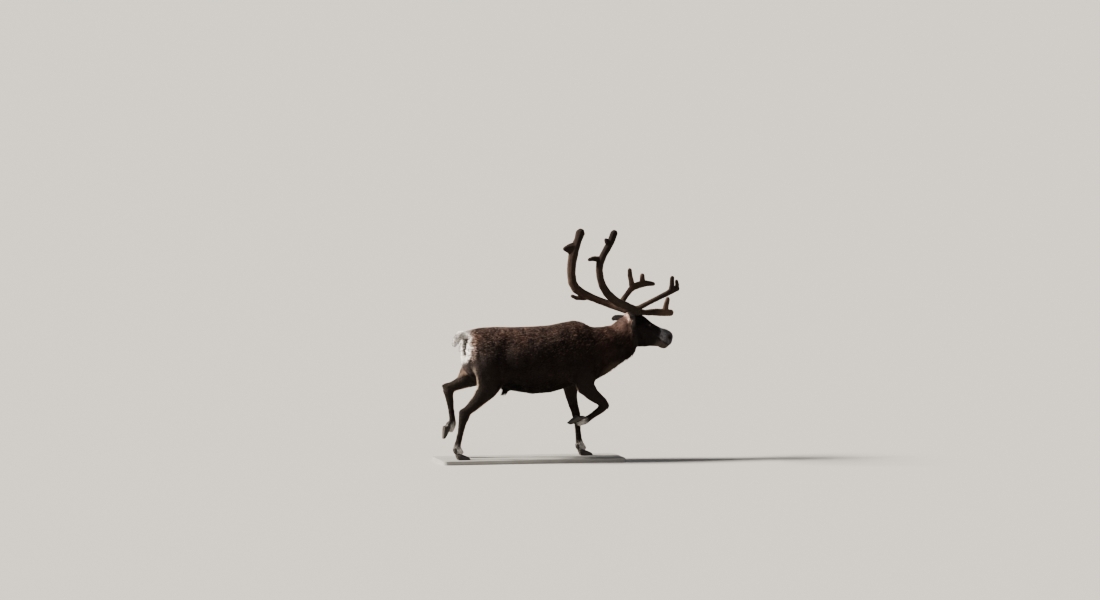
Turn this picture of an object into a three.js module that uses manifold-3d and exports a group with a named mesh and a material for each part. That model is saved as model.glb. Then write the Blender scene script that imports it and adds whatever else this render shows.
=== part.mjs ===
// A bull reindeer in velvet at a running step, life-size, on a plain flat base.
// Millimetres. +X is the way the body faces, +Y its left side, +Z up.
// The animal is drawn with its ground at Z = 0 and then lifted onto the base.
import * as THREE from 'three';
import { mergeVertices } from 'three/addons/utils/BufferGeometryUtils.js';
import Module from 'manifold-3d';

const wasm = await Module();
wasm.setup();

// Driving dimensions of the body.
const gap = 0.3; // clear space between two pieces that meet
const ribHalfWidth = 218;
const hipHalfWidth = 172;
const neckHalfWidth = 108;
const rumpTrail = 0.24; // how far the left buttock steps back, for each millimetre it is out

// Driving dimensions of the head, which is turned left and hangs a little.
const pollPlace = new THREE.Vector3(814, 30, 1207); // between the two antler bases
const headYaw = THREE.MathUtils.degToRad(10);
const headPitch = THREE.MathUtils.degToRad(25);
const headHalfWidth = 79;
const muzzleHalfWidth = 51;
const eyeRadius = 19;
const eyePlace = { along: 141, out: 68, down: 52 };

// Driving dimensions of the antlers.
const antlerGirth = 1.03; // every width in the antler tables is multiplied by this

// Driving dimensions of the feet and the base.
const clawLength = 104;
const clawWidth = 47;
const clawHeight = 56;
const baseSize = { length: 1560, width: 520, thickness: 32, corner: 40, middle: -95 };

// Colours.
const coatBrown = 0x33261f;
const coatWhite = 0xc9c2b6;
const velvetBrown = 0x3a2a20;
const hornBlack = 0x1d1a18;
const eyeBlack = 0x120d0a;
const baseGrey = 0xb9b4aa;

// Places between the rows of a table, on a smooth curve through them.
function between(rows, place) {
  const last = rows.length - 1;
  const i = Math.min(Math.floor(place), last - 1);
  const u = place - i;
  const before = rows[Math.max(i - 1, 0)];
  const after = rows[Math.min(i + 2, last)];
  return rows[i].map((p1, k) => {
    const p0 = before[k];
    const p2 = rows[i + 1][k];
    const p3 = after[k];
    const curve = (2 * p0 - 5 * p1 + 4 * p2 - p3) * u * u + (3 * p1 - p0 - 3 * p2 + p3) * u * u * u;
    return p1 + 0.5 * ((p2 - p0) * u + curve);
  });
}

// A closed body through rings of equal count, shut by a fan at either end.
function loft(rings) {
  const sides = rings[0].length;
  const points = rings.flat();
  const faces = [];
  const corner = (ring, side) => ring * sides + (side % sides);
  for (let ring = 0; ring < rings.length - 1; ring++) {
    for (let side = 0; side < sides; side++) {
      const a = corner(ring, side);
      const b = corner(ring, side + 1);
      const c = corner(ring + 1, side + 1);
      const d = corner(ring + 1, side);
      faces.push(a, b, c, a, c, d);
    }
  }
  const shut = (ring, turned) => {
    const middle = new THREE.Vector3();
    rings[ring].forEach((point) => middle.addScaledVector(point, 1 / sides));
    points.push(middle);
    for (let side = 0; side < sides; side++) {
      const a = corner(ring, side);
      const b = corner(ring, side + 1);
      faces.push(...(turned ? [points.length - 1, b, a] : [points.length - 1, a, b]));
    }
  };
  shut(0, true);
  shut(rings.length - 1, false);
  const geometry = new THREE.BufferGeometry();
  geometry.setFromPoints(points);
  geometry.setIndex(faces);
  return facingOut(geometry);
}

function facingOut(geometry) {
  const index = geometry.index.array;
  const place = geometry.attributes.position;
  const [a, b, c] = [new THREE.Vector3(), new THREE.Vector3(), new THREE.Vector3()];
  let volume = 0;
  for (let i = 0; i < index.length; i += 3) {
    a.fromBufferAttribute(place, index[i]);
    b.fromBufferAttribute(place, index[i + 1]);
    c.fromBufferAttribute(place, index[i + 2]);
    volume += a.dot(b.cross(c));
  }
  if (volume < 0) {
    for (let i = 0; i < index.length; i += 3) {
      [index[i + 1], index[i + 2]] = [index[i + 2], index[i + 1]];
    }
  }
  return geometry;
}

// A rounded section: power 2 is an ellipse, and more is squarer.
function rounded(angle, power) {
  const round = (value) => Math.sign(value) * Math.abs(value) ** (2 / power);
  return [round(Math.cos(angle)), round(Math.sin(angle))];
}

// The trunk and head are drawn by their outline from the side: each row holds the top point,
// the bottom point, the half width, how high the widest level is, and the power of the section.
function outlineLoft(rows, sides, grow = 0) {
  const rings = rows.map(([topX, topZ, lowX, lowZ, half, waist, power]) => {
    const top = new THREE.Vector3(topX, 0, topZ);
    const low = new THREE.Vector3(lowX, 0, lowZ);
    const up = top.clone().sub(low).normalize();
    top.addScaledVector(up, grow);
    low.addScaledVector(up, -grow);
    const middle = low.clone().lerp(top, waist);
    return Array.from({ length: sides }, (_, side) => {
      const [c, s] = rounded((side / sides) * 2 * Math.PI, power);
      const point = middle.clone().lerp(c > 0 ? top : low, Math.abs(c));
      point.y = s * (half + grow);
      return point;
    });
  });
  return loft(rings);
}

const domeShrink = 0.5; // width of the flat at a rounded end, of the end's own width

// A limb, tail, ear or antler: each row holds a point of its middle line, its half depth in the
// plane of the bend and its half width across it. Both ends are domes.
function limbLoft(rows, sides, { grow = 0, across = [0, 1, 0], power = 2, dome = 0.7 } = {}) {
  const middles = rows.map(([x, y, z]) => new THREE.Vector3(x, y, z));
  const side = new THREE.Vector3(...across);
  const frames = middles.map((_, i) => {
    const ahead = middles[Math.min(i + 1, middles.length - 1)];
    const behind = middles[Math.max(i - 1, 0)];
    const forward = ahead.clone().sub(behind).normalize();
    side.addScaledVector(forward, -side.dot(forward)).normalize();
    return { forward, across: side.clone(), up: forward.clone().cross(side) };
  });
  const ring = (i, push, shrink) => {
    const [deep, wide] = [rows[i][3] + grow, rows[i][4] + grow];
    return Array.from({ length: sides }, (_, k) => {
      const [c, s] = rounded((k / sides) * 2 * Math.PI, power);
      return middles[i]
        .clone()
        .addScaledVector(frames[i].forward, push)
        .addScaledVector(frames[i].up, c * deep * shrink)
        .addScaledVector(frames[i].across, s * wide * shrink);
    });
  };
  const last = rows.length - 1;
  const domeDepth = (i) => dome * Math.min(rows[i][3], rows[i][4]) + grow;
  const startDome = ring(0, -domeDepth(0), domeShrink);
  const endDome = ring(last, domeDepth(last), domeShrink);
  return loft([startDome, ...rows.map((_, i) => ring(i, 0, 1)), endDome]);
}

function solidOf(geometry) {
  const bare = geometry.clone();
  bare.deleteAttribute('normal');
  bare.deleteAttribute('uv');
  const merged = mergeVertices(bare, 1e-4);
  return new wasm.Manifold(
    new wasm.Mesh({
      numProp: 3,
      vertProperties: merged.attributes.position.array,
      triVerts: new Uint32Array(merged.index.array),
    }),
  );
}

function geometryOf(solid) {
  const { vertProperties, triVerts } = solid.getMesh();
  const geometry = new THREE.BufferGeometry();
  geometry.setAttribute('position', new THREE.BufferAttribute(vertProperties, 3));
  geometry.setIndex(new THREE.BufferAttribute(triVerts, 1));
  geometry.computeVertexNormals();
  return geometry;
}

function joined(solids) {
  return solids.reduce((whole, next) => whole.add(next));
}

// A box as a cutter, centred on a point and turned so that its thin side lies along the normal.
function slab(centre, normal, [across, tall], thickness = gap) {
  const box = new THREE.BoxGeometry(thickness, across, tall);
  const forward = new THREE.Vector3(...normal).normalize();
  const side = new THREE.Vector3(0, 1, 0);
  side.addScaledVector(forward, -side.dot(forward)).normalize();
  const turn = new THREE.Matrix4().makeBasis(forward, side, forward.clone().cross(side));
  box.applyMatrix4(turn.setPosition(...centre));
  return solidOf(box);
}

// Cuts a solid by thin slabs and gives the pieces in the order of their marks.
function parted(solid, slabs, marks) {
  const pieces = solid.subtract(joined(slabs)).decompose();
  const middles = pieces.map((piece) => {
    const { min, max } = piece.boundingBox();
    return new THREE.Vector3(...min).add(new THREE.Vector3(...max)).multiplyScalar(0.5);
  });
  return marks.map((mark) => {
    const far = middles.map((middle) => middle.distanceTo(new THREE.Vector3(...mark)));
    return pieces[far.indexOf(Math.min(...far))];
  });
}

const reindeer = new THREE.Group();

function addPiece(name, geometry, color, parent = reindeer, roughness = 0.9) {
  const material = new THREE.MeshStandardMaterial({ color, roughness, metalness: 0 });
  const mesh = new THREE.Mesh(geometry, material);
  mesh.name = name;
  parent.add(mesh);
  return mesh;
}

// The trunk and neck, from the buttocks to the inside of the head.
const torsoRows = [
  [-650, 1000, -662, 800, 54, 0.5, 2],
  [-628, 1046, -642, 735, 104, 0.5, 2.1],
  [-588, 1082, -597, 690, 138, 0.52, 2.2],
  [-500, 1098, -510, 650, 158, 0.55, 2.3],
  [-380, 1102, -380, 606, hipHalfWidth, 0.55, 2.3],
  [-220, 1098, -220, 563, 205, 0.5, 2.3],
  [-60, 1101, -60, 538, ribHalfWidth, 0.48, 2.25],
  [90, 1110, 90, 549, 210, 0.47, 2.2],
  [205, 1134, 215, 580, 184, 0.47, 2.1],
  [300, 1146, 340, 612, 164, 0.48, 2.05],
  [370, 1127, 470, 647, 152, 0.48, 2.05],
  [440, 1090, 600, 712, 138, 0.5, 2],
  [530, 1089, 690, 772, 122, 0.52, 2],
  [620, 1106, 762, 832, neckHalfWidth, 0.54, 2],
  [692, 1158, 830, 890, 98, 0.54, 2],
  [752, 1184, 862, 940, 82, 0.52, 2],
];

// The neck bends left to carry the turned head.
function bendNeck(geometry) {
  const place = geometry.attributes.position;
  const [bendFrom, bendTo] = [430, 820];
  for (let i = 0; i < place.count; i++) {
    const u = THREE.MathUtils.clamp((place.getX(i) - bendFrom) / (bendTo - bendFrom), 0, 1);
    place.setY(i, place.getY(i) + pollPlace.y * u * u * 0.9);
  }
  return geometry;
}

// The left buttock goes back with the leg that trails, and the right one forward.
function trailRump(geometry) {
  const place = geometry.attributes.position;
  const [trailFrom, trailTo] = [-480, -630];
  for (let i = 0; i < place.count; i++) {
    const u = THREE.MathUtils.clamp((place.getX(i) - trailFrom) / (trailTo - trailFrom), 0, 1);
    place.setX(i, place.getX(i) - rumpTrail * place.getY(i) * u);
  }
  return geometry;
}

const torso = (grow) => solidOf(trailRump(bendNeck(outlineLoft(torsoRows, 18, grow))));

// The head in its own frame: along its length from the poll, and up from the forehead line.
const headRows = [
  [-58, -30, -58, -165, 46, 0.5, 2],
  [-30, -6, -30, -208, 72, 0.5, 2.1],
  [10, 4, 10, -232, 77, 0.52, 2.2],
  [60, 8, 60, -246, headHalfWidth, 0.55, 2.3],
  [105, 3, 105, -250, headHalfWidth, 0.6, 2.3],
  [150, -8, 150, -246, 74, 0.62, 2.3],
  [195, -18, 195, -232, 64, 0.6, 2.3],
  [242, -22, 242, -213, 55, 0.55, 2.3],
  [285, -22, 285, -196, 51, 0.52, 2.4],
  [325, -15, 325, -183, muzzleHalfWidth, 0.52, 2.5],
  [360, -12, 360, -178, 52, 0.52, 2.6],
  [386, -20, 386, -172, 50, 0.53, 2.6],
  [404, -35, 403, -158, 43, 0.55, 2.4],
  [414, -56, 412, -133, 28, 0.57, 2.2],
];

// Swellings of the skull that the section alone doesn't give, by place, reach and height.
const headSwellings = [
  { at: [128, 74, -36], reach: 54, height: 13 }, // rim of the eye socket
  { at: [150, 70, -150], reach: 80, height: 6 }, // cheek
  { at: [372, 44, -60], reach: 36, height: 6 }, // nostril
  { at: [0, 52, 8], reach: 44, height: 12 }, // foot of the antler
];

function swell(geometry) {
  const place = geometry.attributes.position;
  const point = new THREE.Vector3();
  const away = new THREE.Vector3();
  for (let i = 0; i < place.count; i++) {
    point.fromBufferAttribute(place, i);
    away.set(0, point.y, point.z + 110).normalize();
    for (const { at, reach, height } of headSwellings) {
      const far = Math.hypot(point.x - at[0], Math.abs(point.y) - at[1], point.z - at[2]) / reach;
      if (far < 1) point.addScaledVector(away, height * (1 - far * far) ** 2);
    }
    place.setXYZ(i, ...point.toArray());
  }
  return geometry;
}

const antlerFrame = new THREE.Matrix4().makeRotationZ(headYaw).setPosition(pollPlace);
const headFrame = antlerFrame.clone().multiply(new THREE.Matrix4().makeRotationY(headPitch));
const head = (grow) => solidOf(swell(outlineLoft(headRows, 16, grow)).applyMatrix4(headFrame));

// The tail stands out from the rump and curls down.
const tailRows = [
  [-560, 0, 1025, 34, 34],
  [-600, 0, 1038, 35, 38],
  [-640, 0, 1042, 33, 38],
  [-684, 0, 1030, 29, 36],
  [-714, 0, 1000, 26, 33],
  [-724, 0, 966, 19, 24],
];
const tail = solidOf(limbLoft(tailRows, 10)).subtract(torso(gap));

// The sheath hangs under the belly.
const sheathRows = [
  [-268, 0, 592, 31, 27],
  [-294, 0, 562, 25, 22],
  [-306, 0, 540, 17, 16],
];

// The four legs from inside the trunk to the crown of the foot, each an upper limb that ends in
// the point of the hock or the knee and a lower limb from there. The right hind and the left fore
// foot stand; the left hind leg has just left the ground and the right fore leg swings forward.
const legRows = {
  hind_leg_right: {
    upper: [
      [-424, -68, 960, 118, 66],
      [-432, -98, 860, 146, 82],
      [-442, -112, 760, 150, 84],
      [-452, -121, 660, 128, 70],
      [-492, -125, 570, 90, 56],
      [-556, -124, 495, 62, 43],
      [-616, -122, 434, 46, 34],
      [-664, -121, 403, 36, 28],
      [-704, -121, 402, 22, 20],
    ],
    lower: [
      [-650, -121, 404, 40, 31],
      [-672, -121, 370, 49, 33],
      [-688, -120, 310, 35, 27],
      [-704, -119, 225, 26, 22],
      [-722, -118, 150, 26, 24],
      [-733, -118, 108, 32, 31],
      [-716, -118, 74, 29, 34],
      [-703, -118, 58, 29, 38],
    ],
    footPitch: 0,
  },
  hind_leg_left: {
    upper: [
      [-470, 68, 982, 182, 62],
      [-486, 98, 890, 196, 80],
      [-494, 112, 798, 156, 84],
      [-536, 121, 708, 138, 68],
      [-604, 125, 664, 96, 56],
      [-650, 124, 626, 60, 42],
      [-720, 122, 598, 46, 34],
      [-762, 121, 594, 36, 28],
      [-796, 121, 610, 22, 20],
    ],
    lower: [
      [-742, 121, 602, 40, 31],
      [-760, 121, 562, 48, 33],
      [-752, 120, 510, 36, 27],
      [-741, 119, 432, 27, 22],
      [-729, 118, 345, 25, 23],
      [-724, 118, 290, 31, 30],
      [-736, 118, 252, 28, 33],
      [-746, 118, 232, 28, 37],
    ],
    footPitch: 94,
  },
  fore_leg_left: {
    upper: [
      [340, 62, 970, 88, 54],
      [345, 88, 860, 118, 72],
      [330, 102, 765, 122, 76],
      [305, 106, 670, 104, 62],
      [283, 108, 585, 74, 50],
      [292, 106, 500, 51, 40],
      [311, 104, 420, 40, 34],
      [326, 102, 372, 36, 32],
    ],
    lower: [
      [320, 103, 392, 34, 30],
      [331, 102, 352, 37, 33],
      [341, 101, 290, 28, 26],
      [348, 100, 205, 24, 22],
      [354, 100, 145, 26, 24],
      [359, 100, 106, 32, 31],
      [379, 100, 74, 29, 34],
      [392, 100, 58, 29, 38],
    ],
    footPitch: 0,
  },
  fore_leg_right: {
    upper: [
      [362, -62, 970, 88, 54],
      [370, -88, 860, 118, 72],
      [370, -103, 755, 120, 76],
      [360, -108, 665, 104, 62],
      [372, -111, 592, 82, 50],
      [428, -110, 528, 58, 41],
      [488, -108, 482, 45, 35],
      [524, -107, 458, 38, 33],
    ],
    lower: [
      [540, -107, 462, 30, 30],
      [533, -107, 438, 40, 34],
      [502, -106, 403, 34, 28],
      [440, -105, 359, 26, 23],
      [400, -105, 332, 26, 24],
      [370, -105, 313, 31, 31],
      [332, -105, 300, 28, 33],
      [310, -105, 293, 28, 37],
    ],
    footPitch: 142,
  },
};
const upperLimb = (name, grow) => limbLoft(legRows[name].upper, 12, { grow, power: 2.1 });
const lowerLimb = (name, grow) => (
  limbLoft(legRows[name].lower, 10, { grow, power: 2.1, dome: 0.15 })
);
const leg = (name, grow) => solidOf(upperLimb(name, grow)).add(solidOf(lowerLimb(name, grow)));

const flesh = (grow) => joined([
  torso(grow),
  head(grow),
  solidOf(limbLoft(sheathRows, 8, { grow })),
  ...Object.keys(legRows).map((name) => leg(name, grow)),
]);

// One claw of a hoof lies along +X from the heel, flat underneath, and its outer side curves in
// towards the toe. The side is 1 for the left claw and -1 for the right.
const heelBehind = 0.42; // of a claw's length, behind the foot's own origin
function clawGeometry(side, grow = 0) {
  const steps = 4;
  const sides = 8;
  const rings = Array.from({ length: steps + 1 }, (_, i) => {
    const u = i / steps;
    const wide = clawWidth * 0.5 * Math.sin(Math.PI * (0.22 + 0.66 * u)) ** 0.6 + grow;
    const tall = clawHeight * (1 - 0.62 * u ** 2) * (0.84 + 0.16 * Math.min(1, 4 * u)) + 2 * grow;
    const along = (u - heelBehind) * clawLength + (2 * u - 1) * grow;
    const middle = side * (3 + clawWidth * 0.5 - 9 * u * u);
    return Array.from({ length: sides }, (_, k) => {
      const [c, s] = rounded(((k + 0.5) / sides) * 2 * Math.PI, 2.8);
      const height = Math.max(0, (c + 0.5) / 1.5) * tall - grow;
      return new THREE.Vector3(along - 0.42 * height, middle + s * wide, height);
    });
  });
  return loft(rings);
}

// The foot's frame: its sole is level at Z = 0 and the crown sits a little behind the origin.
const crownPlace = new THREE.Vector3(-19, 0, 58);
function footFrame({ lower, footPitch }) {
  const turn = new THREE.Matrix4().makeRotationY(THREE.MathUtils.degToRad(footPitch));
  const end = new THREE.Vector3(...lower.at(-1).slice(0, 3));
  return turn.clone().setPosition(end.sub(crownPlace.clone().applyMatrix4(turn)));
}

// A dewclaw hangs behind the pastern, just under the fetlock.
function dewClawGeometry({ lower }, side) {
  const fetlock = new THREE.Vector3(...lower.at(-3).slice(0, 3));
  const crown = new THREE.Vector3(...lower.at(-1).slice(0, 3));
  const down = crown.clone().sub(fetlock).normalize();
  const back = new THREE.Vector3(down.z, 0, -down.x);
  const row = (fall, out, behind, deep, wide) => {
    const place = fetlock.clone().addScaledVector(down, fall).addScaledVector(back, behind);
    return [place.x, place.y + side * out, place.z, deep, wide];
  };
  return limbLoft([row(2, 20, 24, 15, 14), row(20, 25, 34, 14, 13), row(38, 29, 40, 8, 9)], 5);
}

// Head and antlers.
const antlerRows = {
  right: {
    beam: [
      [7, 60, 7, 34, 34],
      [-77, 100, 43, 31, 31],
      [-145, 146, 71, 30, 30],
      [-224, 195, 99, 31, 30],
      [-293, 235, 136, 33, 31],
      [-353, 262, 185, 32, 31],
      [-402, 285, 248, 29, 29],
      [-431, 302, 313, 26, 27],
      [-444, 312, 381, 25, 26],
      [-440, 316, 440, 30, 28],
      [-414, 324, 503, 25, 26],
      [-385, 338, 561, 27, 27],
      [-356, 352, 623, 27, 27],
      [-330, 364, 694, 27, 26],
    ],
    cuts: [4.5, 10.4],
  },
  left: {
    beam: [
      [48, 52, 4, 34, 34],
      [-25, 95, 15, 31, 31],
      [-78, 145, 30, 29, 29],
      [-134, 195, 53, 27, 28],
      [-200, 234, 79, 26, 28],
      [-275, 262, 112, 28, 29],
      [-348, 284, 146, 32, 31],
      [-403, 300, 185, 35, 33],
      [-434, 308, 239, 34, 33],
      [-442, 312, 311, 33, 32],
      [-438, 314, 387, 34, 32],
      [-425, 318, 458, 37, 33],
      [-400, 330, 528, 34, 32],
      [-366, 346, 598, 31, 31],
      [-339, 358, 658, 35, 33],
    ],
    cuts: [4.3, 10.6],
  },
};
const tineRows = {
  right: {
    brow_tine: [
      [[33, 52, 3, 26, 24], [77, 56, -2, 21, 21], [131, 56, -1, 25, 19], [197, 51, -4, 29, 17],
        [262, 46, -8, 29, 16], [329, 41, -13, 25, 14]],
      [[267, 46, 4, 26, 15], [275, 45, 48, 23, 14], [286, 45, 86, 19, 13], [290, 45, 110, 15, 12]],
    ],
    bez_tine: [
      [[-39, 84, 27, 22, 22], [9, 100, 43, 19, 20], [48, 128, 69, 18, 19],
        [100, 156, 100, 18, 19], [156, 174, 129, 18, 18], [211, 184, 156, 19, 17],
        [265, 184, 184, 24, 16], [324, 176, 205, 22, 14]],
      [[264, 184, 187, 25, 16], [269, 186, 232, 20, 15], [269, 187, 275, 17, 14],
        [271, 187, 295, 15, 13]],
      [[314, 178, 202, 19, 14], [320, 177, 234, 16, 13], [314, 176, 264, 13, 12]],
    ],
    back_tine: [
      [[-431, 315, 470, 24, 22], [-469, 315, 477, 21, 19], [-502, 314, 481, 18, 17],
        [-535, 313, 472, 13, 13]],
    ],
    top_prong: [
      [[-363, 354, 602, 32, 24], [-391, 356, 623, 23, 20], [-401, 357, 637, 15, 14]],
    ],
  },
  left: {
    brow_tine: [
      [[39, 52, 8, 24, 22], [75, 62, 25, 17, 16], [106, 70, 38, 11, 10]],
    ],
    bez_tine: [
      [[-60, 132, 69, 22, 22], [-27, 152, 105, 21, 20], [9, 170, 138, 20, 20],
        [43, 184, 173, 22, 20], [84, 191, 199, 26, 20], [133, 194, 216, 26, 20],
        [185, 190, 225, 24, 18], [227, 180, 223, 19, 17], [250, 172, 220, 15, 14]],
      [[64, 190, 197, 24, 20], [56, 194, 251, 20, 18], [46, 198, 302, 19, 17],
        [45, 200, 340, 16, 15]],
      [[158, 191, 228, 22, 18], [158, 193, 266, 20, 17], [158, 195, 295, 17, 15]],
    ],
    back_tine: [
      [[-286, 268, 115, 20, 18], [-340, 287, 106, 16, 16], [-400, 300, 110, 15, 15],
        [-437, 304, 126, 12, 12]],
    ],
    top_prong: [
      [[-399, 328, 523, 52, 26], [-438, 330, 521, 50, 25], [-466, 331, 526, 33, 20],
        [-491, 332, 524, 18, 15]],
    ],
  },
};

// Antler places are written in the head's frame as along, out and up; the hand sets the side.
function onSide(rows, hand) {
  return rows.map(([along, out, up, deep, wide]) => (
    [along, hand * out, up, deep * antlerGirth, wide * antlerGirth]
  ));
}
const antlerTube = (rows, hand, sides, grow = 0) => (
  solidOf(limbLoft(onSide(rows, hand), sides, { grow, dome: 0.8 }).applyMatrix4(antlerFrame))
);

// A thin cut across a limb at a place between its rows.
function cutAcross(rows, place, tall, frame = new THREE.Matrix4()) {
  const at = new THREE.Vector3(...between(rows, place).slice(0, 3)).applyMatrix4(frame);
  const ahead = new THREE.Vector3(...between(rows, place + 0.05).slice(0, 3)).applyMatrix4(frame);
  return slab(at, ahead.sub(at), [tall, tall]);
}

// A leg takes in its haunch or shoulder: its outline from the side, under a plane that leans
// from the groin up to the skin.
const haunchOutline = [[-1000, -100], [-318, -100], [-318, 600], [-345, 985], [-1000, 985]];
const legOutlines = {
  hind_leg_right: haunchOutline,
  hind_leg_left: haunchOutline,
  fore_leg_left: [[190, -100], [480, -100], [480, 640], [452, 985], [228, 985], [190, 600]],
  fore_leg_right: [
    [100, -100], [640, -100], [640, 622], [490, 650], [470, 985], [250, 985], [215, 600], [100, 540],
  ],
};
const groin = { out: 14, high: 600, lean: THREE.MathUtils.degToRad(60) };

function legRegion(name, grow) {
  const hand = name.endsWith('left') ? 1 : -1;
  const outline = new THREE.Shape(legOutlines[name].map(([x, z]) => new THREE.Vector2(x, z)));
  const prism = new THREE.ExtrudeGeometry(outline, { depth: 500, bevelEnabled: false });
  prism.rotateX(Math.PI / 2);
  prism.translate(0, hand > 0 ? 500 + groin.out - grow : -groin.out + grow, 0);
  const under = new THREE.BoxGeometry(3000, 4000, 4000);
  under.translate(0, 0, -2000 + grow);
  under.rotateX(hand * groin.lean);
  under.translate(0, hand * groin.out, groin.high);
  return solidOf(prism).intersect(solidOf(under));
}

// The flesh is made whole and then parted by thin cuts.
const eyeAt = (hand, radius) => {
  const ball = new THREE.SphereGeometry(radius, 8, 6);
  ball.translate(eyePlace.along, hand * eyePlace.out, -eyePlace.down);
  return ball.applyMatrix4(headFrame);
};

const around = flesh(gap);
let rest = flesh(0).subtract(joined([1, -1].map((hand) => solidOf(eyeAt(hand, eyeRadius + gap)))));

for (const [name, { upper, lower }] of Object.entries(legRows)) {
  const limb = rest.intersect(legRegion(name, 0));
  rest = rest.subtract(legRegion(name, gap));
  const joints = [cutAcross(upper, 4.5, 240), cutAcross(upper, 5.65, 130), cutAcross(lower, 4.6, 90)];
  const marks = [upper[2], upper[5], lower[3], lower[6]].map((row) => row.slice(0, 3));
  const pieces = parted(limb, joints, marks);
  const names = name.startsWith('hind')
    ? ['haunch', 'gaskin', 'cannon', 'pastern']
    : ['shoulder', 'forearm', 'cannon', 'pastern'];
  names.forEach((word, i) => addPiece(`${name}_${word}`, geometryOf(pieces[i]), coatBrown));

  const foot = footFrame(legRows[name]);
  for (const [word, side] of [['left', 1], ['right', -1]]) {
    const claw = solidOf(clawGeometry(side).applyMatrix4(foot)).subtract(around);
    addPiece(`${name}_claw_${word}`, geometryOf(claw), hornBlack);
    const clawAround = solidOf(clawGeometry(side, gap).applyMatrix4(foot));
    const dewClaw = solidOf(dewClawGeometry(legRows[name], side)).subtract(around).subtract(clawAround);
    addPiece(`${name}_dewclaw_${word}`, geometryOf(dewClaw), hornBlack);
  }
}

const neckCut = slab([520, 0, 900], [377, 0, 160], [700, 560]);
const headCut = slab([795, 20, 1050], [300, 30, 100], [500, 480]);
const [trunk, neck, headPiece] = parted(
  rest,
  [neckCut, headCut],
  [[-50, 0, 850], [640, 0, 950], [930, 40, 1070]],
);
addPiece('trunk', geometryOf(trunk), coatBrown);
addPiece('neck', geometryOf(neck), coatBrown);
addPiece('head', geometryOf(headPiece), coatBrown);
addPiece('tail', geometryOf(tail), coatWhite);

// The left ear lies back beside the poll, its broad face to the side. The right one hangs out and
// down, and opens forward.
const earRows = {
  left: {
    rows: [
      [-22, 66, -56, 13, 15],
      [-42, 88, -57, 12, 23],
      [-70, 112, -57, 10, 28],
      [-98, 133, -59, 9, 26],
      [-118, 146, -61, 7, 18],
      [-128, 152, -62, 4, 8],
    ],
    across: [0, 0, 1],
  },
  right: {
    rows: [
      [-22, -66, -52, 13, 15],
      [-33, -86, -70, 12, 23],
      [-45, -110, -94, 10, 28],
      [-56, -132, -115, 8, 25],
      [-63, -146, -129, 6, 15],
      [-66, -151, -134, 3, 6],
    ],
    across: [-0.29, -0.52, 0.7],
  },
};

for (const [word, hand] of [['left', 1], ['right', -1]]) {
  addPiece(`eye_${word}`, eyeAt(hand, eyeRadius), eyeBlack, reindeer, 0.15);
  const ear = limbLoft(earRows[word].rows, 7, { across: earRows[word].across });
  const earSolid = solidOf(ear.applyMatrix4(antlerFrame)).subtract(around);
  addPiece(`ear_${word}`, geometryOf(earSolid), coatBrown);

  const { beam, cuts } = antlerRows[word];
  const tines = tineRows[word];
  const stem = antlerTube(beam, hand, 8).subtract(around);
  const stemAround = antlerTube(beam, hand, 8, gap);
  const prong = joined(tines.top_prong.map((rows) => antlerTube(rows, hand, 6)));
  const rows = onSide(beam, hand);
  const middles = [2, (cuts[0] + cuts[1]) / 2, beam.length - 2].map((place) => (
    new THREE.Vector3(...between(rows, place).slice(0, 3)).applyMatrix4(antlerFrame).toArray()
  ));
  const slabs = cuts.map((place) => cutAcross(rows, place, 120, antlerFrame));
  const [lowerBeam, middleBeam, upperBeam] = parted(stem.add(prong), slabs, middles);
  addPiece(`antler_${word}_lower_beam`, geometryOf(lowerBeam), velvetBrown);
  addPiece(`antler_${word}_middle_beam`, geometryOf(middleBeam), velvetBrown);
  addPiece(`antler_${word}_upper_beam`, geometryOf(upperBeam), velvetBrown);
  for (const tine of ['brow_tine', 'bez_tine', 'back_tine']) {
    const shape = joined(tines[tine].map((tube) => antlerTube(tube, hand, 6)));
    addPiece(`antler_${word}_${tine}`, geometryOf(shape.subtract(stemAround).subtract(around)), velvetBrown);
  }
}

// A plain flat base with rounded corners, under the two feet that stand.
function baseGeometry({ length, width, thickness, corner }) {
  const [x, y] = [length / 2, width / 2];
  const outline = new THREE.Shape();
  outline.moveTo(-x + corner, -y);
  outline.lineTo(x - corner, -y);
  outline.absarc(x - corner, -y + corner, corner, -Math.PI / 2, 0);
  outline.absarc(x - corner, y - corner, corner, 0, Math.PI / 2);
  outline.absarc(-x + corner, y - corner, corner, Math.PI / 2, Math.PI);
  outline.absarc(-x + corner, -y + corner, corner, Math.PI, 1.5 * Math.PI);
  return new THREE.ExtrudeGeometry(outline, { depth: thickness, bevelEnabled: false, curveSegments: 2 });
}
const base = addPiece('stand_base', baseGeometry(baseSize), baseGrey);
base.position.set(baseSize.middle, 0, -baseSize.thickness - gap);

// The part's origin is under the middle of the whole model, on the floor.
const box = new THREE.Box3().setFromObject(reindeer);
const middle = box.getCenter(new THREE.Vector3());
reindeer.position.set(-middle.x, -middle.y, -box.min.z);

export default reindeer;
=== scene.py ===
import math

import bmesh
import bpy
import numpy as np
from mathutils import Matrix, Vector, noise


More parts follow.
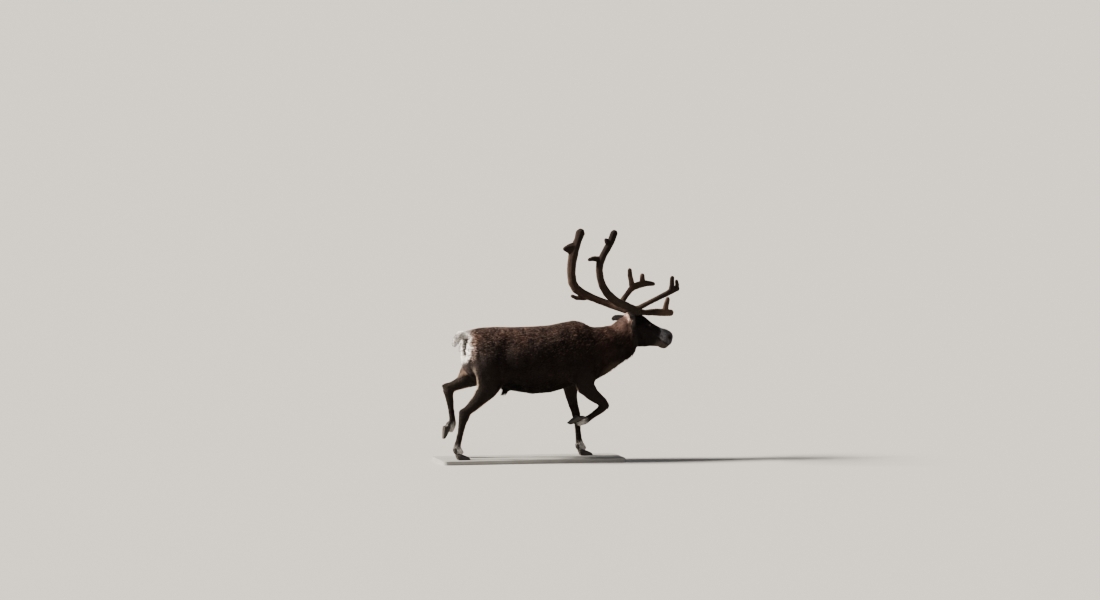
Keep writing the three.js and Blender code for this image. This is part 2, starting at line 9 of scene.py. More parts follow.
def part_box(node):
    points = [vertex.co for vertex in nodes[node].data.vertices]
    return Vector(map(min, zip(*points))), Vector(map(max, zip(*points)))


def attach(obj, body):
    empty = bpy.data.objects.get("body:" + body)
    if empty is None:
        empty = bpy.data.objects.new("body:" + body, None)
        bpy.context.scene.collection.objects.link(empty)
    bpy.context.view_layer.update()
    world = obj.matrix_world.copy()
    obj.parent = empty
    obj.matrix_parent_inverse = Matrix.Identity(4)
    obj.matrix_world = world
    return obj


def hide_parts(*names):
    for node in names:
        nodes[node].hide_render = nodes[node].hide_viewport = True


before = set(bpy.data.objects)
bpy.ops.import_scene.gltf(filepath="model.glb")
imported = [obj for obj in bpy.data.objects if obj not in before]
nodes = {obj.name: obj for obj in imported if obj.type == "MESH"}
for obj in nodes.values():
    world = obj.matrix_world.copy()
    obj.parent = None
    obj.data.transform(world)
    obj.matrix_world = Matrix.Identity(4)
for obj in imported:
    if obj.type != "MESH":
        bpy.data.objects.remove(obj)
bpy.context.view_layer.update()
root = "root"

# The animal is measured from the ground between its feet, as its solids are: the base carries it.
baseLow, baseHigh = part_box("stand_base")
footing = {"baseMiddle": -0.095, "gap": 0.0003}
animalOrigin = Vector((
    (baseLow.x + baseHigh.x) / 2 - footing["baseMiddle"],
    (baseLow.y + baseHigh.y) / 2,
    baseHigh.z + footing["gap"],
))
headPlace = {"poll": (0.814, 0.03, 1.207), "yaw": 10, "pitch": 25}
antlerMatrix = Matrix.Translation(animalOrigin + Vector(headPlace["poll"])) @ Matrix.Rotation(
    math.radians(headPlace["yaw"]), 4, "Z"
)
headMatrix = antlerMatrix @ Matrix.Rotation(math.radians(headPlace["pitch"]), 4, "Y")


def moved(points, matrix):
    turn = np.array(matrix.to_3x3())
    return points @ turn.T + np.array(matrix.translation)


def fromOrigin(points):
    return points - np.array(animalOrigin)


def onHead(points):
    return moved(points, headMatrix.inverted())


# Brings the right side's places over to the left.
def folded(points):
    return np.column_stack([points[:, 0], np.abs(points[:, 1]), points[:, 2]])


def ramp(low, high, value):
    t = np.clip((value - low) / (high - low), 0, 1)
    return t * t * (3 - 2 * t)


def bell(value, middle, width):
    return np.exp(-(((value - middle) / width) ** 2))


def dot(first, second):
    return np.einsum("ij,ij->i", first, second)


def distance(first, second):
    return np.linalg.norm(first - second, axis=1)


def unit(vectors):
    return vectors / np.maximum(np.linalg.norm(vectors, axis=-1, keepdims=True), 1e-9)


noiseSteps = (7.3, 3.1, 5.7)  # how far each seed moves the noise


def softNoise(points, scale, seed):
    shift = Vector([seed * step for step in noiseSteps])
    return np.array([noise.noise(Vector(p) * scale + shift) for p in points])


def addObject(name, data):
    thing = bpy.data.objects.new(name, data)
    bpy.context.scene.collection.objects.link(thing)
    return thing


def meshObject(name, bm):
    mesh = bpy.data.meshes.new(name)
    bm.to_mesh(mesh)
    bm.free()
    return addObject(name, mesh)


# Camera: the photograph looks from the animal's right, a little from behind, with a long lens.
view = {
    "azimuth": -12,
    "elevation": 4,
    "distance": 60,
    "pixel": 0.0084,
    "imageWidth": 1100,
    "aim": (0.1013, 0.0725, 1.3156),
    "sensor": 36,
    "clip": (1, 500),
}


def addCamera():
    azimuth = math.radians(view["azimuth"])
    elevation = math.radians(view["elevation"])
    level = math.cos(elevation)
    look = Vector((-math.sin(azimuth) * level, math.cos(azimuth) * level, -math.sin(elevation)))
    data = bpy.data.cameras.new("camera")
    data.sensor_width = view["sensor"]
    data.lens = view["sensor"] * view["distance"] / (view["pixel"] * view["imageWidth"])
    data.clip_start, data.clip_end = view["clip"]
    camera = addObject("camera", data)
    camera.location = animalOrigin + Vector(view["aim"]) - look * view["distance"]
    camera.rotation_euler = look.to_track_quat("-Z", "Y").to_euler()
    bpy.context.scene.camera = camera


# Studio: a pale floor and sky, a high light from behind the tail and a weak one in front. Each
# light has the direction it comes from, its spread in degrees, its power and its colour.
studio = {
    "floorSize": 300,
    "floorColour": (0.385, 0.375, 0.36, 1),
    "floorRoughness": 0.9,
    "skyColour": (0.88, 0.91, 0.96, 1),
    "skyStrength": 0.22,
    "lights": {
        "keyLight": ((-0.77, 0.14, 0.62), 12, 12.0, (1.0, 0.93, 0.84)),
        "frontLight": ((0.5, -0.8, 0.33), 50, 0.55, (1.0, 0.94, 0.9)),
    },
    "look": "AgX - Medium High Contrast",
}


def addStudio():
    bm = bmesh.new()
    bmesh.ops.create_grid(bm, x_segments=1, y_segments=1, size=studio["floorSize"])
    floor = meshObject("studioFloor", bm)
    paint, tree = newMaterial("floorPaint")
    setShader(tree, {"Base Color": studio["floorColour"], "Roughness": studio["floorRoughness"]})
    floor.data.materials.append(paint)
    world = bpy.data.worlds.new("studioSky")
    world.use_nodes = True
    background = world.node_tree.nodes["Background"]
    background.inputs["Color"].default_value = studio["skyColour"]
    background.inputs["Strength"].default_value = studio["skyStrength"]
    bpy.context.scene.world = world
    bpy.context.scene.view_settings.look = studio["look"]
    for name, (source, spread, power, colour) in studio["lights"].items():
        data = bpy.data.lights.new(name, "SUN")
        data.angle = math.radians(spread)
        data.energy = power
        data.color = colour
        addObject(name, data).rotation_euler = Vector(source).to_track_quat("Z", "Y").to_euler()


# Materials are small node trees: an input is a value or the output of another node.
def setInputs(tree, node, inputs):
    for key, value in inputs.items():
        if isinstance(value, bpy.types.NodeSocket):
            tree.links.new(value, node.inputs[key])
        else:
            node.inputs[key].default_value = value


def addNode(tree, kind, inputs, **settings):
    node = tree.nodes.new(kind)
    for key, value in settings.items():
        setattr(node, key, value)
    setInputs(tree, node, inputs)
    return node


def newMaterial(name):
    material = bpy.data.materials.new(name)
    material.use_nodes = True
    return material, material.node_tree


# A bump has its height, its strength and its depth in metres.
def setShader(tree, inputs, bump=None):
    if bump:
        height, strength, depth = bump
        node = addNode(
            tree, "ShaderNodeBump", {"Height": height, "Strength": strength, "Distance": depth}
        )
        inputs = {**inputs, "Normal": node.outputs["Normal"]}
    setInputs(tree, tree.nodes["Principled BSDF"], inputs)


def objectNoise(tree, scale, detail=2.0, stretch=(1, 1, 1), rough=0.5):
    place = addNode(tree, "ShaderNodeTexCoord", {}).outputs["Object"]
    mapping = addNode(tree, "ShaderNodeMapping", {"Vector": place, "Scale": stretch})
    inputs = {"Vector": mapping.outputs[0], "Scale": scale, "Detail": detail, "Roughness": rough}
    return addNode(tree, "ShaderNodeTexNoise", inputs).outputs["Fac"]


def mixColours(tree, factor, first, second, blend="MIX"):
    inputs = {0: factor, 6: first, 7: second}
    mix = addNode(tree, "ShaderNodeMix", inputs, data_type="RGBA", blend_type=blend)
    return mix.outputs[2]


def rangeOf(tree, value, fromLow, fromHigh, toLow=0, toHigh=1):
    inputs = {
        "Value": value, "From Min": fromLow, "From Max": fromHigh, "To Min": toLow, "To Max": toHigh
    }
    return addNode(tree, "ShaderNodeMapRange", inputs).outputs["Result"]


# Lines down the middle of each part, with the part's radius: they give the lie of the coat and
# say which part a place belongs to. Places are metres from the animal's own origin.
bodyLines = {
    "trunk": [
        (0.36, 0, 0.9, 0.21), (0.1, 0, 0.84, 0.26), (-0.2, 0, 0.83, 0.26), (-0.45, 0, 0.88, 0.21),
        (-0.64, 0, 0.91, 0.12),
    ],
    "neck": [
        (0.8, 0.03, 1.07, 0.12), (0.66, 0.012, 0.99, 0.14), (0.5, 0, 0.92, 0.18),
        (0.36, 0, 0.88, 0.22),
    ],
    "tail": [(-0.6, 0, 1.03, 0.035), (-0.68, 0, 1.035, 0.033), (-0.724, 0, 0.966, 0.024)],
    "hind_leg_right": [
        (-0.44, -0.11, 0.76, 0.1), (-0.492, -0.125, 0.57, 0.07), (-0.616, -0.122, 0.434, 0.04),
        (-0.672, -0.121, 0.37, 0.035), (-0.704, -0.119, 0.225, 0.024),
        (-0.733, -0.118, 0.108, 0.031), (-0.703, -0.118, 0.058, 0.033),
    ],
    "hind_leg_left": [
        (-0.49, 0.112, 0.8, 0.11), (-0.576, 0.125, 0.655, 0.065), (-0.72, 0.122, 0.598, 0.04),
        (-0.76, 0.121, 0.562, 0.035), (-0.741, 0.119, 0.432, 0.024),
        (-0.724, 0.118, 0.29, 0.031), (-0.746, 0.118, 0.232, 0.033),
    ],
    "fore_leg_left": [
        (0.335, 0.095, 0.8, 0.09), (0.283, 0.108, 0.585, 0.06), (0.311, 0.104, 0.42, 0.037),
        (0.331, 0.102, 0.352, 0.035), (0.348, 0.1, 0.205, 0.023), (0.359, 0.1, 0.106, 0.031),
        (0.392, 0.1, 0.058, 0.033),
    ],
    "fore_leg_right": [
        (0.37, -0.098, 0.79, 0.09), (0.372, -0.111, 0.592, 0.065), (0.488, -0.108, 0.482, 0.04),
        (0.533, -0.107, 0.438, 0.035), (0.44, -0.105, 0.359, 0.024), (0.37, -0.105, 0.313, 0.031),
        (0.31, -0.105, 0.293, 0.033),
    ],
}
headLines = {"head": [(0.4, 0, -0.09, 0.045), (0.25, 0, -0.1, 0.07), (-0.03, 0, -0.11, 0.1)]}
earLines = {
    "earLeft": [(-0.022, 0.066, -0.052, 0.02), (-0.126, 0.151, -0.054, 0.02)],
    "earRight": [(-0.022, -0.066, -0.052, 0.02), (-0.066, -0.151, -0.134, 0.02)],
}
legNames = [name for name in bodyLines if "leg" in name]
lieFall = {"amount": 0.28, "neck": 0.5}  # how far the hair points down, and the neck's share


def placedLines():
    lines = {}
    toWorld = Matrix.Translation(animalOrigin)
    groups = ((bodyLines, toWorld), (headLines, headMatrix), (earLines, antlerMatrix))
    for group, matrix in groups:
        for name, rows in group.items():
            lines[name] = (moved(np.array(rows)[:, :3], matrix), np.array(rows)[:, 3])
    return lines


lines = placedLines()


# For each place: how far along a line it is (0 to 1), the distance from the line in radii of the
# part, and the line's direction there.
def alongLine(points, name):
    knots, radii = lines[name]
    lengths = np.linalg.norm(np.diff(knots, axis=0), axis=1)
    starts = np.concatenate([[0], np.cumsum(lengths)])
    best = np.full(len(points), 1e9)
    place = np.zeros(len(points))
    heading = np.zeros((len(points), 3))
    for i, length in enumerate(lengths):
        forward = (knots[i + 1] - knots[i]) / length
        along = np.clip((points - knots[i]) @ forward, 0, length)
        radius = radii[i] + (radii[i + 1] - radii[i]) * along / length
        away = distance(points - knots[i], along[:, None] * forward) / radius
        nearer = away < best
        best[nearer] = away[nearer]
        place[nearer] = (starts[i] + along[nearer]) / starts[-1]
        heading[nearer] = forward
    return place, best, heading


# How much each place belongs to each part, where it is along the part, and the lie of the coat.
sharing = {"near": 0.3, "most": 3.4, "power": 6}


def bodyMap(points):
    weights, places, headings = {}, {}, {}
    for name in lines:
        places[name], away, headings[name] = alongLine(points, name)
        closeness = np.minimum(1 / np.maximum(away, sharing["near"]), sharing["most"])
        weights[name] = closeness ** sharing["power"]
    total = sum(weights.values())
    weights = {name: weight / total for name, weight in weights.items()}
    lie = sum(weights[name][:, None] * headings[name] for name in lines)
    lie[:, 2] -= lieFall["amount"] * (weights["trunk"] + lieFall["neck"] * weights["neck"])
    weights["ears"] = weights["earLeft"] + weights["earRight"]
    weights["legs"] = sum(weights[name] for name in legNames)
    return {"weights": weights, "places": places, "lie": unit(lie)}


# The skin: every solid of flesh is copied, joined by a remesh that is finer at the head, smoothed,
# and drawn in by the depth of the coat. The legs count as fine by a share of their own.
skinShape = {
    "voxel": 0.0095,
    "overlap": 0.0012,
    "first": {"rounds": 5, "amount": 0.8, "earsSpared": 0.9},
    "broad": {"rounds": 40, "amount": 0.9, "fine": 0.08, "legs": 0.93},
    "normalRounds": 3,
    "sunkRounds": 25,
}
weldDistance = 0.00002
fleshWords = (
    "trunk", "neck", "head", "tail", "ear", "haunch", "gaskin", "shoulder", "forearm", "cannon",
    "pastern",
)
fleshNodes = [name for name in nodes if any(word in name for word in fleshWords)]

# The lens widens the space round the head, so that even voxels there give smaller faces.
lens = {
    "middle": (0.19, 0, -0.09),
    "push": 0.36,
    "reach": 0.22,
    "least": 1e-6,
    "firstGuess": 0.6,
    "rounds": 12,
}
lensMiddle = moved(np.array([lens["middle"]]), headMatrix)[0]


def fromLens(points):
    away = points - lensMiddle
    return away, np.maximum(np.linalg.norm(away, axis=1, keepdims=True), lens["least"])


def pushed(far):
    return far + lens["push"] * (1 - np.exp(-far / lens["reach"]))


def lensOut(points):
    away, far = fromLens(points)
    return lensMiddle + away * pushed(far) / far


def lensIn(points):
    away, seen = fromLens(points)
    far = seen * lens["firstGuess"]
    for _ in range(lens["rounds"]):
        slope = 1 + lens["push"] / lens["reach"] * np.exp(-far / lens["reach"])
        far = np.maximum(far - (pushed(far) - seen) / slope, lens["least"])
    return lensMiddle + away * far / seen


def readVectors(mesh, key):
    flat = np.zeros(len(mesh.vertices) * 3)
    mesh.vertices.foreach_get(key, flat)
    return flat.reshape(-1, 3)


def readPoints(mesh):
    return readVectors(mesh, "co")


def readNormals(mesh):
    return readVectors(mesh, "normal")


def writePoints(mesh, points):
    mesh.vertices.foreach_set("co", points.astype(np.float32).ravel())
    mesh.update()


def copyNodes(names, overlap):
    bm = bmesh.new()
    for name in names:
        bm.from_mesh(nodes[name].data)
    bmesh.ops.remove_doubles(bm, verts=bm.verts, dist=weldDistance)
    bmesh.ops.recalc_face_normals(bm, faces=bm.faces)
    bm.normal_update()
    for vert in bm.verts:
        vert.co += vert.normal * overlap
    return bm


def remeshed(thing, voxel):
    remesh = thing.modifiers.new("remesh", "REMESH")
    remesh.mode = "VOXEL"
    remesh.voxel_size = voxel
    graph = bpy.context.evaluated_depsgraph_get()
    mesh = bpy.data.meshes.new_from_object(thing.evaluated_get(graph))
    thing.modifiers.clear()
    old = thing.data
    thing.data = mesh
    bpy.data.meshes.remove(old)
    mesh.name = thing.name


# Averages each value with its neighbours along the edges, as often as asked for each place.
class Evener:
    def __init__(self, mesh):
        pairs = np.zeros(len(mesh.edges) * 2, dtype=np.int64)
        mesh.edges.foreach_get("vertices", pairs)
        pairs = pairs.reshape(-1, 2)
        self.fromEnd = np.concatenate([pairs[:, 0], pairs[:, 1]])
        self.toEnd = np.concatenate([pairs[:, 1], pairs[:, 0]])
        self.count = len(mesh.vertices)
        self.degree = np.maximum(np.bincount(self.fromEnd, minlength=self.count), 1)

    def mean(self, values):
        flat = values.reshape(self.count, -1)
        sums = [
            np.bincount(self.fromEnd, weights=column[self.toEnd], minlength=self.count)
            for column in flat.T
        ]
        return (np.array(sums).T / self.degree[:, None]).reshape(values.shape)

    def even(self, values, times, amount=1.0):
        share = amount if np.isscalar(amount) else amount.reshape(-1, 1)
        for _ in range(times):
            values = values + share * (self.mean(values) - values)
        return values


# How far the skin lies inside the solids, in metres. The ears and the tail lie outside them.
coatDepths = {
    "trunk": 0.006,
    "neck": 0.009,
    "head": 0.003,
    "tail": {"root": 0.003, "tip": 0.005, "band": (0.4, 0.9)},
    "ears": 0.006,
    "legs": {"upper": 0.008, "less": 0.0055, "band": (0.15, 0.55)},
    "throat": {
        "more": 0.014,
        "line": (0.45, 0.62, 0.72),
        "under": (0.1, 0.0),
        "from": (0.45, 0.62),
        "to": (0.8, 0.7),
    },
}


def coatDepth(points, body):
    weights, places = body["weights"], body["places"]
    depth = sum(coatDepths[name] * weights[name] for name in ("trunk", "neck", "head"))
    tail, leg, throat = coatDepths["tail"], coatDepths["legs"], coatDepths["throat"]
    depth -= weights["tail"] * (tail["root"] + tail["tip"] * ramp(*tail["band"], places["tail"]))
    depth -= coatDepths["ears"] * weights["ears"]
    for name in legNames:
        depth += weights[name] * (leg["upper"] - leg["less"] * ramp(*leg["band"], places[name]))
    x, _, z = fromOrigin(points).T
    start, height, slope = throat["line"]
    share = weights["neck"] * ramp(*throat["from"], x)
    share *= ramp(*throat["under"], z - (height + slope * (x - start)))
    share *= ramp(*throat["to"], x)
    return depth + throat["more"] * share


def makeSkin():
    skin = meshObject("skin", copyNodes(fleshNodes + eyeNodes, skinShape["overlap"]))
    writePoints(skin.data, lensOut(readPoints(skin.data)))
    remeshed(skin, skinShape["voxel"])
    mesh = skin.data
    writePoints(mesh, lensIn(readPoints(mesh)))
    evener = Evener(mesh)
    start = readPoints(mesh)
    body = bodyMap(start)
    weights = body["weights"]
    ears = weights["ears"]
    first, broad = skinShape["first"], skinShape["broad"]
    fine = weights["head"] + ears + weights["legs"] * broad["legs"] + weights["tail"]
    fine = np.clip(fine, 0, 1)
    smooth = evener.even(start, first["rounds"], first["amount"] * (1 - first["earsSpared"] * ears))
    amount = broad["amount"] * (1 - fine) + broad["fine"] * fine * (1 - ears)
    smooth = evener.even(smooth, broad["rounds"], amount)
    writePoints(mesh, smooth)
    normals = unit(evener.even(readNormals(mesh), skinShape["normalRounds"]))
    sunk = evener.even(dot(start - smooth, normals), skinShape["sunkRounds"])
    raised = sunk - coatDepth(smooth, body)
    writePoints(mesh, smooth + normals * raised[:, None])
    return skin


# The places of the head's own detail, on its left side, and how far round each of them the faces
# are made finer in each round.
detailRounds = [
    {"eye": 0.04, "nostril": 0.03, "lips": 0.016},
    {"eye": 0.029, "nostril": 0.02, "lips": 0.008},
]
eyeNodes = ["eye_left", "eye_right"]
eyePlace = {
    "middle": (0.141, 0.0662, -0.052),
    "out": (0.3, 0.94, 0.1),
    "slant": (0.95, -0.3, -0.3),
    "radius": 0.0185,
}
eyeOpening = {"half": 0.0178, "up": 0.0098, "down": 0.008}
nostrilPlace = {
    "middle": (0.372, 0.045, -0.07),
    "out": (0.55, 0.83, 0.06),
    "slant": (-0.6, 0.35, 0.62),
}
nostrilOpening = {"half": 0.0135, "up": 0.0058, "down": 0.005}
mouth = {
    "line": [(0.326, -0.1225), (0.345, -0.128), (0.375, -0.1295), (0.4, -0.1265), (0.418, -0.1225)],
    "corner": (-0.004, 0.01),
    "depth": 0.005,
    "width": 0.0026,
    "lip": {"height": 0.0016, "middle": 0.007, "width": 0.004},
    "chin": {"back": 0.005, "under": (0.0, -0.008), "along": (0.37, 0.41)},
}


# How far a place is above the line of the mouth, and how much of it lies on the lips.
def lipHeight(local):
    along, level = np.array(mouth["line"]).T
    above = local[:, 2] - np.interp(local[:, 0], along, level)
    return above, ramp(*(along[0] + np.array(mouth["corner"])), local[:, 0])


# A feature's own frame on the head: across it, up it and out of it.
def featureFrame(feature, hand):
    places = (feature[key] for key in ("middle", "out", "slant"))
    middle, out, slant = (Vector((x, hand * y, z)) for x, y, z in places)
    outward = out.normalized()
    across = (slant - outward * slant.dot(outward)).normalized()
    up = outward.cross(across) * (-hand)
    turn = Matrix((across, up, outward)).transposed().to_4x4()
    return headMatrix @ Matrix.Translation(middle) @ turn


def refineHead(skin):
    for reach in detailRounds:
        bm = bmesh.new()
        bm.from_mesh(skin.data)
        local = onHead(readPoints(skin.data))
        near = distance(folded(local), eyePlace["middle"]) < reach["eye"]
        near |= distance(folded(local), nostrilPlace["middle"]) < reach["nostril"]
        above, onLips = lipHeight(local)
        near |= (np.abs(above) < reach["lips"]) & (onLips > 0.1)
        bm.verts.ensure_lookup_table()
        edges = [edge for edge in bm.edges if all(near[vert.index] for vert in edge.verts)]
        bmesh.ops.subdivide_edges(bm, edges=edges, cuts=1, use_grid_fill=True)
        bmesh.ops.triangulate(bm, faces=[face for face in bm.faces if len(face.verts) > 4])
        bm.to_mesh(skin.data)
        bm.free()


# Ridges and hollows of bone, muscle and sinew: a stroke from one place to another, its reach and
# its height. Strokes on the body are metres from the animal's origin, written for its left side.
headStrokes = {
    "brow": ((0.1, 0.074, -0.026), (0.16, 0.068, -0.03), 0.016, 0.0035),
    "socketFront": ((0.17, 0.062, -0.04), (0.178, 0.064, -0.062), 0.014, 0.001),
    "tearPit": ((0.172, 0.069, -0.073), (0.192, 0.061, -0.084), 0.01, -0.0045),
    "cheekBone": ((0.07, 0.082, -0.085), (0.215, 0.058, -0.108), 0.024, 0.0042),
    "cheekHollow": ((0.165, 0.062, -0.142), (0.27, 0.05, -0.122), 0.032, -0.006),
    "jawMuscle": ((0.055, 0.076, -0.13), (0.11, 0.076, -0.165), 0.05, 0.005),
    "jawEdge": ((0.1, 0.062, -0.222), (0.3, 0.04, -0.172), 0.022, 0.003),
    "noseSide": ((0.205, 0.046, -0.04), (0.33, 0.044, -0.04), 0.024, -0.005),
    "noseRidge": ((0.215, 0, -0.016), (0.33, 0, -0.016), 0.026, 0.0022),
    "templeHollow": ((0.035, 0.08, -0.045), (0.075, 0.08, -0.04), 0.024, -0.005),
    "upperLip": ((0.345, 0.052, -0.1), (0.4, 0.03, -0.1), 0.026, 0.0045),
    "lipCorner": ((0.322, 0.053, -0.128), (0.335, 0.053, -0.128), 0.014, 0.002),
    "whiskerPad": ((0.33, 0.052, -0.075), (0.36, 0.05, -0.08), 0.028, 0.0028),
    "underChin": ((0.25, 0, -0.195), (0.33, 0, -0.176), 0.03, -0.005),
}
bodyStrokes = {
    "shoulderRidge": ((0.27, 0.12, 1.07), (0.345, 0.175, 0.83), 0.05, 0.005),
    "shoulderPoint": ((0.455, 0.13, 0.8), (0.44, 0.13, 0.76), 0.055, 0.006),
    "behindShoulder": ((0.165, 0.2, 0.92), (0.185, 0.17, 0.69), 0.075, -0.009),
    "frontOfShoulder": ((0.395, 0.15, 1.02), (0.5, 0.13, 0.86), 0.06, -0.006),
    "flankHollow": ((-0.285, 0.17, 0.985), (-0.33, 0.17, 0.935), 0.08, -0.008),
    "hipBone": ((-0.35, 0.13, 1.05), (-0.39, 0.135, 1.03), 0.055, 0.005),
    "seatBone": ((-0.64, 0.075, 0.94), (-0.64, 0.07, 0.92), 0.05, 0.004),
    "thighGroove": ((-0.56, 0.145, 0.96), (-0.5, 0.165, 0.7), 0.035, -0.005),
    "thighFront": ((-0.35, 0.185, 0.86), (-0.355, 0.165, 0.7), 0.055, -0.008),
    "stifle": ((-0.4, 0.15, 0.69), (-0.415, 0.15, 0.65), 0.05, 0.005),
    "ribsEnd": ((-0.2, 0.215, 0.88), (-0.1, 0.2, 0.66), 0.09, 0.003),
    "neckGroove": ((0.745, 0.085, 1.0), (0.47, 0.135, 0.79), 0.04, -0.006),
    "neckCrest": ((0.7, 0.06, 1.12), (0.48, 0.08, 1.06), 0.05, 0.004),
}


def dome(far):
    return np.clip(1 - far * far, 0, 1) ** 2


# Each place's way from the nearest place on the straight line between two ends.
def fromLine(points, start, end):
    forward = end - start
    share = np.clip((points - start) @ forward / (forward @ forward), 0, 1)
    return points - start - share[:, None] * forward


def strokeHeights(points, strokes):
    total = np.zeros(len(points))
    for start, end, reach, height in strokes.values():
        away = fromLine(folded(points), np.array(start), np.array(end))
        total += height * dome(np.linalg.norm(away, axis=1) / reach)
    return total


# The cleft under the tail lies a little to the right, as the left buttock trails.
rumpCleft = {
    "middle": -0.034,
    "back": (-0.55, -0.61),
    "low": (0.81, 0.88),
    "high": (1.0, 0.975),
    "width": 0.036,
    "depth": 0.034,
}


def cleftHeights(points):
    x, y, z = points.T
    here = ramp(*rumpCleft["back"], x)
    here *= ramp(*rumpCleft["low"], z) * ramp(*rumpCleft["high"], z)
    return -rumpCleft["depth"] * here * dome((y - rumpCleft["middle"]) / rumpCleft["width"])


# Sinews of the lower legs: a hollow on each side between the cannon bone and the sinew behind it.
legSinews = {
    "from": (0.5, 0.56),
    "to": (0.85, 0.8),
    "depth": 0.0028,
    "behind": 0.25,
    "width": 0.35,
    "halfLength": 0.028,
    "halfWidth": 0.022,
    "side": (0.3, 0.8),
    "reach": 1.6,
}


def backward(heading):
    return unit(np.cross(heading, [0, 1.0, 0]))


def sinewHeights(points):
    total = np.zeros(len(points))
    for name in legNames:
        knots = lines[name][0]
        place, away, heading = alongLine(points, name)
        ways = np.array([fromLine(points, *ends) for ends in zip(knots[:-1], knots[1:])])
        nearest = np.linalg.norm(ways, axis=2).argmin(axis=0)
        way = ways[nearest, np.arange(len(points))]
        behind = dot(way, backward(heading)) / legSinews["halfLength"]
        side = ramp(*legSinews["side"], np.abs(way[:, 1]) / legSinews["halfWidth"])
        low = ramp(*legSinews["from"], place) * ramp(*legSinews["to"], place)
        groove = bell(behind, legSinews["behind"], legSinews["width"])
        total -= legSinews["depth"] * low * groove * side * (away < legSinews["reach"])
    return total


# How far out of the middle of an opening each place is: 1 on its edge.
def roundness(spot, opening, power=1.65):
    a, b = spot[:, 0], spot[:, 1]
    tall = np.where(b > 0, opening["up"], opening["down"])
    return ((np.abs(a) / opening["half"]) ** power + (np.abs(b) / tall) ** power) ** (1 / power)


# Points near the edge of an opening are drawn onto it, so that it comes out clean. The second
# value is how far a point is beyond the edge, in metres.
def snapped(spot, opening, band):
    level = roundness(spot, opening)
    onEdge = np.abs(level - 1) < band
    spot[onEdge, :2] /= level[onEdge, None]
    level = roundness(spot, opening)
    reach = np.hypot(spot[:, 0], spot[:, 1])
    return level, reach * (1 - 1 / np.maximum(level, 1e-6))


# The lids lie on the eyeball and run out into the skin, with a fold above and one below.
lids = {
    "snap": 0.09,
    "thick": 0.0017,
    "rim": (-0.0002, 0.0012),
    "gap": 0.0002,
    "inside": {"level": 0.995, "depth": 0.0052, "band": (1.0, 0.9)},
    "shell": 0.001,
    "ballEdge": 0.42,
    "blend": (0.002475, 0.0125),
    "fit": (0.021, 0.034),
    "back": -0.004,
    "outer": (0.0225, 0.031),
    "fold": 0.0013,
    "foldsPart": -0.002,
    "foldAbove": (0.0062, 0.0016),
    "foldBelow": (0.0075, 0.0018),
    "lowerFold": 0.6,
}


def bowlTerms(spot):
    a, b = spot[:, 0], spot[:, 1]
    return np.array([np.ones_like(a), a, b, a * a, a * b, b * b]).T


def carveEye(points, hand):
    matrix = featureFrame(eyePlace, hand)
    local = moved(points, matrix.inverted())
    reach = np.hypot(local[:, 0], local[:, 1])
    near = (reach < lids["fit"][1]) & (local[:, 2] > lids["back"])
    ring = local[near & (reach > lids["fit"][0])]
    fitted = np.linalg.lstsq(bowlTerms(ring), ring[:, 2], rcond=None)[0]
    spot = local[near]
    level, beyond = snapped(spot, eyeOpening, lids["snap"])
    b = spot[:, 1]
    reach = np.hypot(spot[:, 0], b)
    radius, inner = eyePlace["radius"], lids["inside"]
    ball = np.sqrt(np.maximum(radius**2 - reach**2, (lids["ballEdge"] * radius) ** 2))
    lid = ball + lids["thick"] * ramp(*lids["rim"], beyond) + lids["gap"]
    inside = level < inner["level"]
    lid[inside] = ball[inside] - inner["depth"] * ramp(*inner["band"], level[inside])
    share = ramp(*lids["blend"], beyond)
    height = lid * (1 - share) + bowlTerms(spot) @ fitted * share
    crease = bell(beyond, *lids["foldAbove"]) * (b > lids["foldsPart"])
    crease += lids["lowerFold"] * bell(beyond, *lids["foldBelow"]) * (b < lids["foldsPart"])
    height -= lids["fold"] * crease
    shell = np.sqrt(np.maximum(radius**2 - reach**2, 0)) + lids["shell"]
    covered = ~inside & (reach < radius)
    height[covered] = np.maximum(height, shell)[covered]
    outer = ramp(*lids["outer"], reach)
    spot[:, 2] = height * (1 - outer) + spot[:, 2] * outer
    points[near] = moved(spot, matrix)
    return points


nostrilShape = {
    "reach": 0.024,
    "thick": 0.016,
    "bend": 0.0035,
    "bendLength": 0.012,
    "snap": 0.12,
    "rim": 0.0022,
    "rimPlace": (0.0022, 0.0026),
    "depth": 0.015,
    "power": 0.45,
}


def carveNostril(points, hand):
    matrix = featureFrame(nostrilPlace, hand)
    local = moved(points, matrix.inverted())
    near = np.hypot(local[:, 0], local[:, 1]) < nostrilShape["reach"]
    near &= np.abs(local[:, 2]) < nostrilShape["thick"]
    spot = local[near]
    spot[:, 1] -= nostrilShape["bend"] * (spot[:, 0] / nostrilShape["bendLength"]) ** 2
    level, beyond = snapped(spot, nostrilOpening, nostrilShape["snap"])
    spot[:, 2] += nostrilShape["rim"] * bell(beyond, *nostrilShape["rimPlace"]) * (level > 1)
    inside = np.clip(1 - level, 0, 1)
    spot[:, 2] -= nostrilShape["depth"] * inside ** nostrilShape["power"]
    spot[:, 1] += nostrilShape["bend"] * (spot[:, 0] / nostrilShape["bendLength"]) ** 2
    points[near] = moved(spot, matrix)
    return points


def carveMouth(points, normals):
    local = onHead(points)
    above, onLips = lipHeight(local)
    lip, chin = mouth["lip"], mouth["chin"]
    groove = mouth["depth"] * bell(above, 0, mouth["width"])
    swell = lip["height"] * bell(np.abs(above), lip["middle"], lip["width"])
    under = chin["back"] * ramp(*chin["under"], above) * ramp(*chin["along"], local[:, 0])
    return points + normals * (onLips * (swell - groove - under))[:, None]


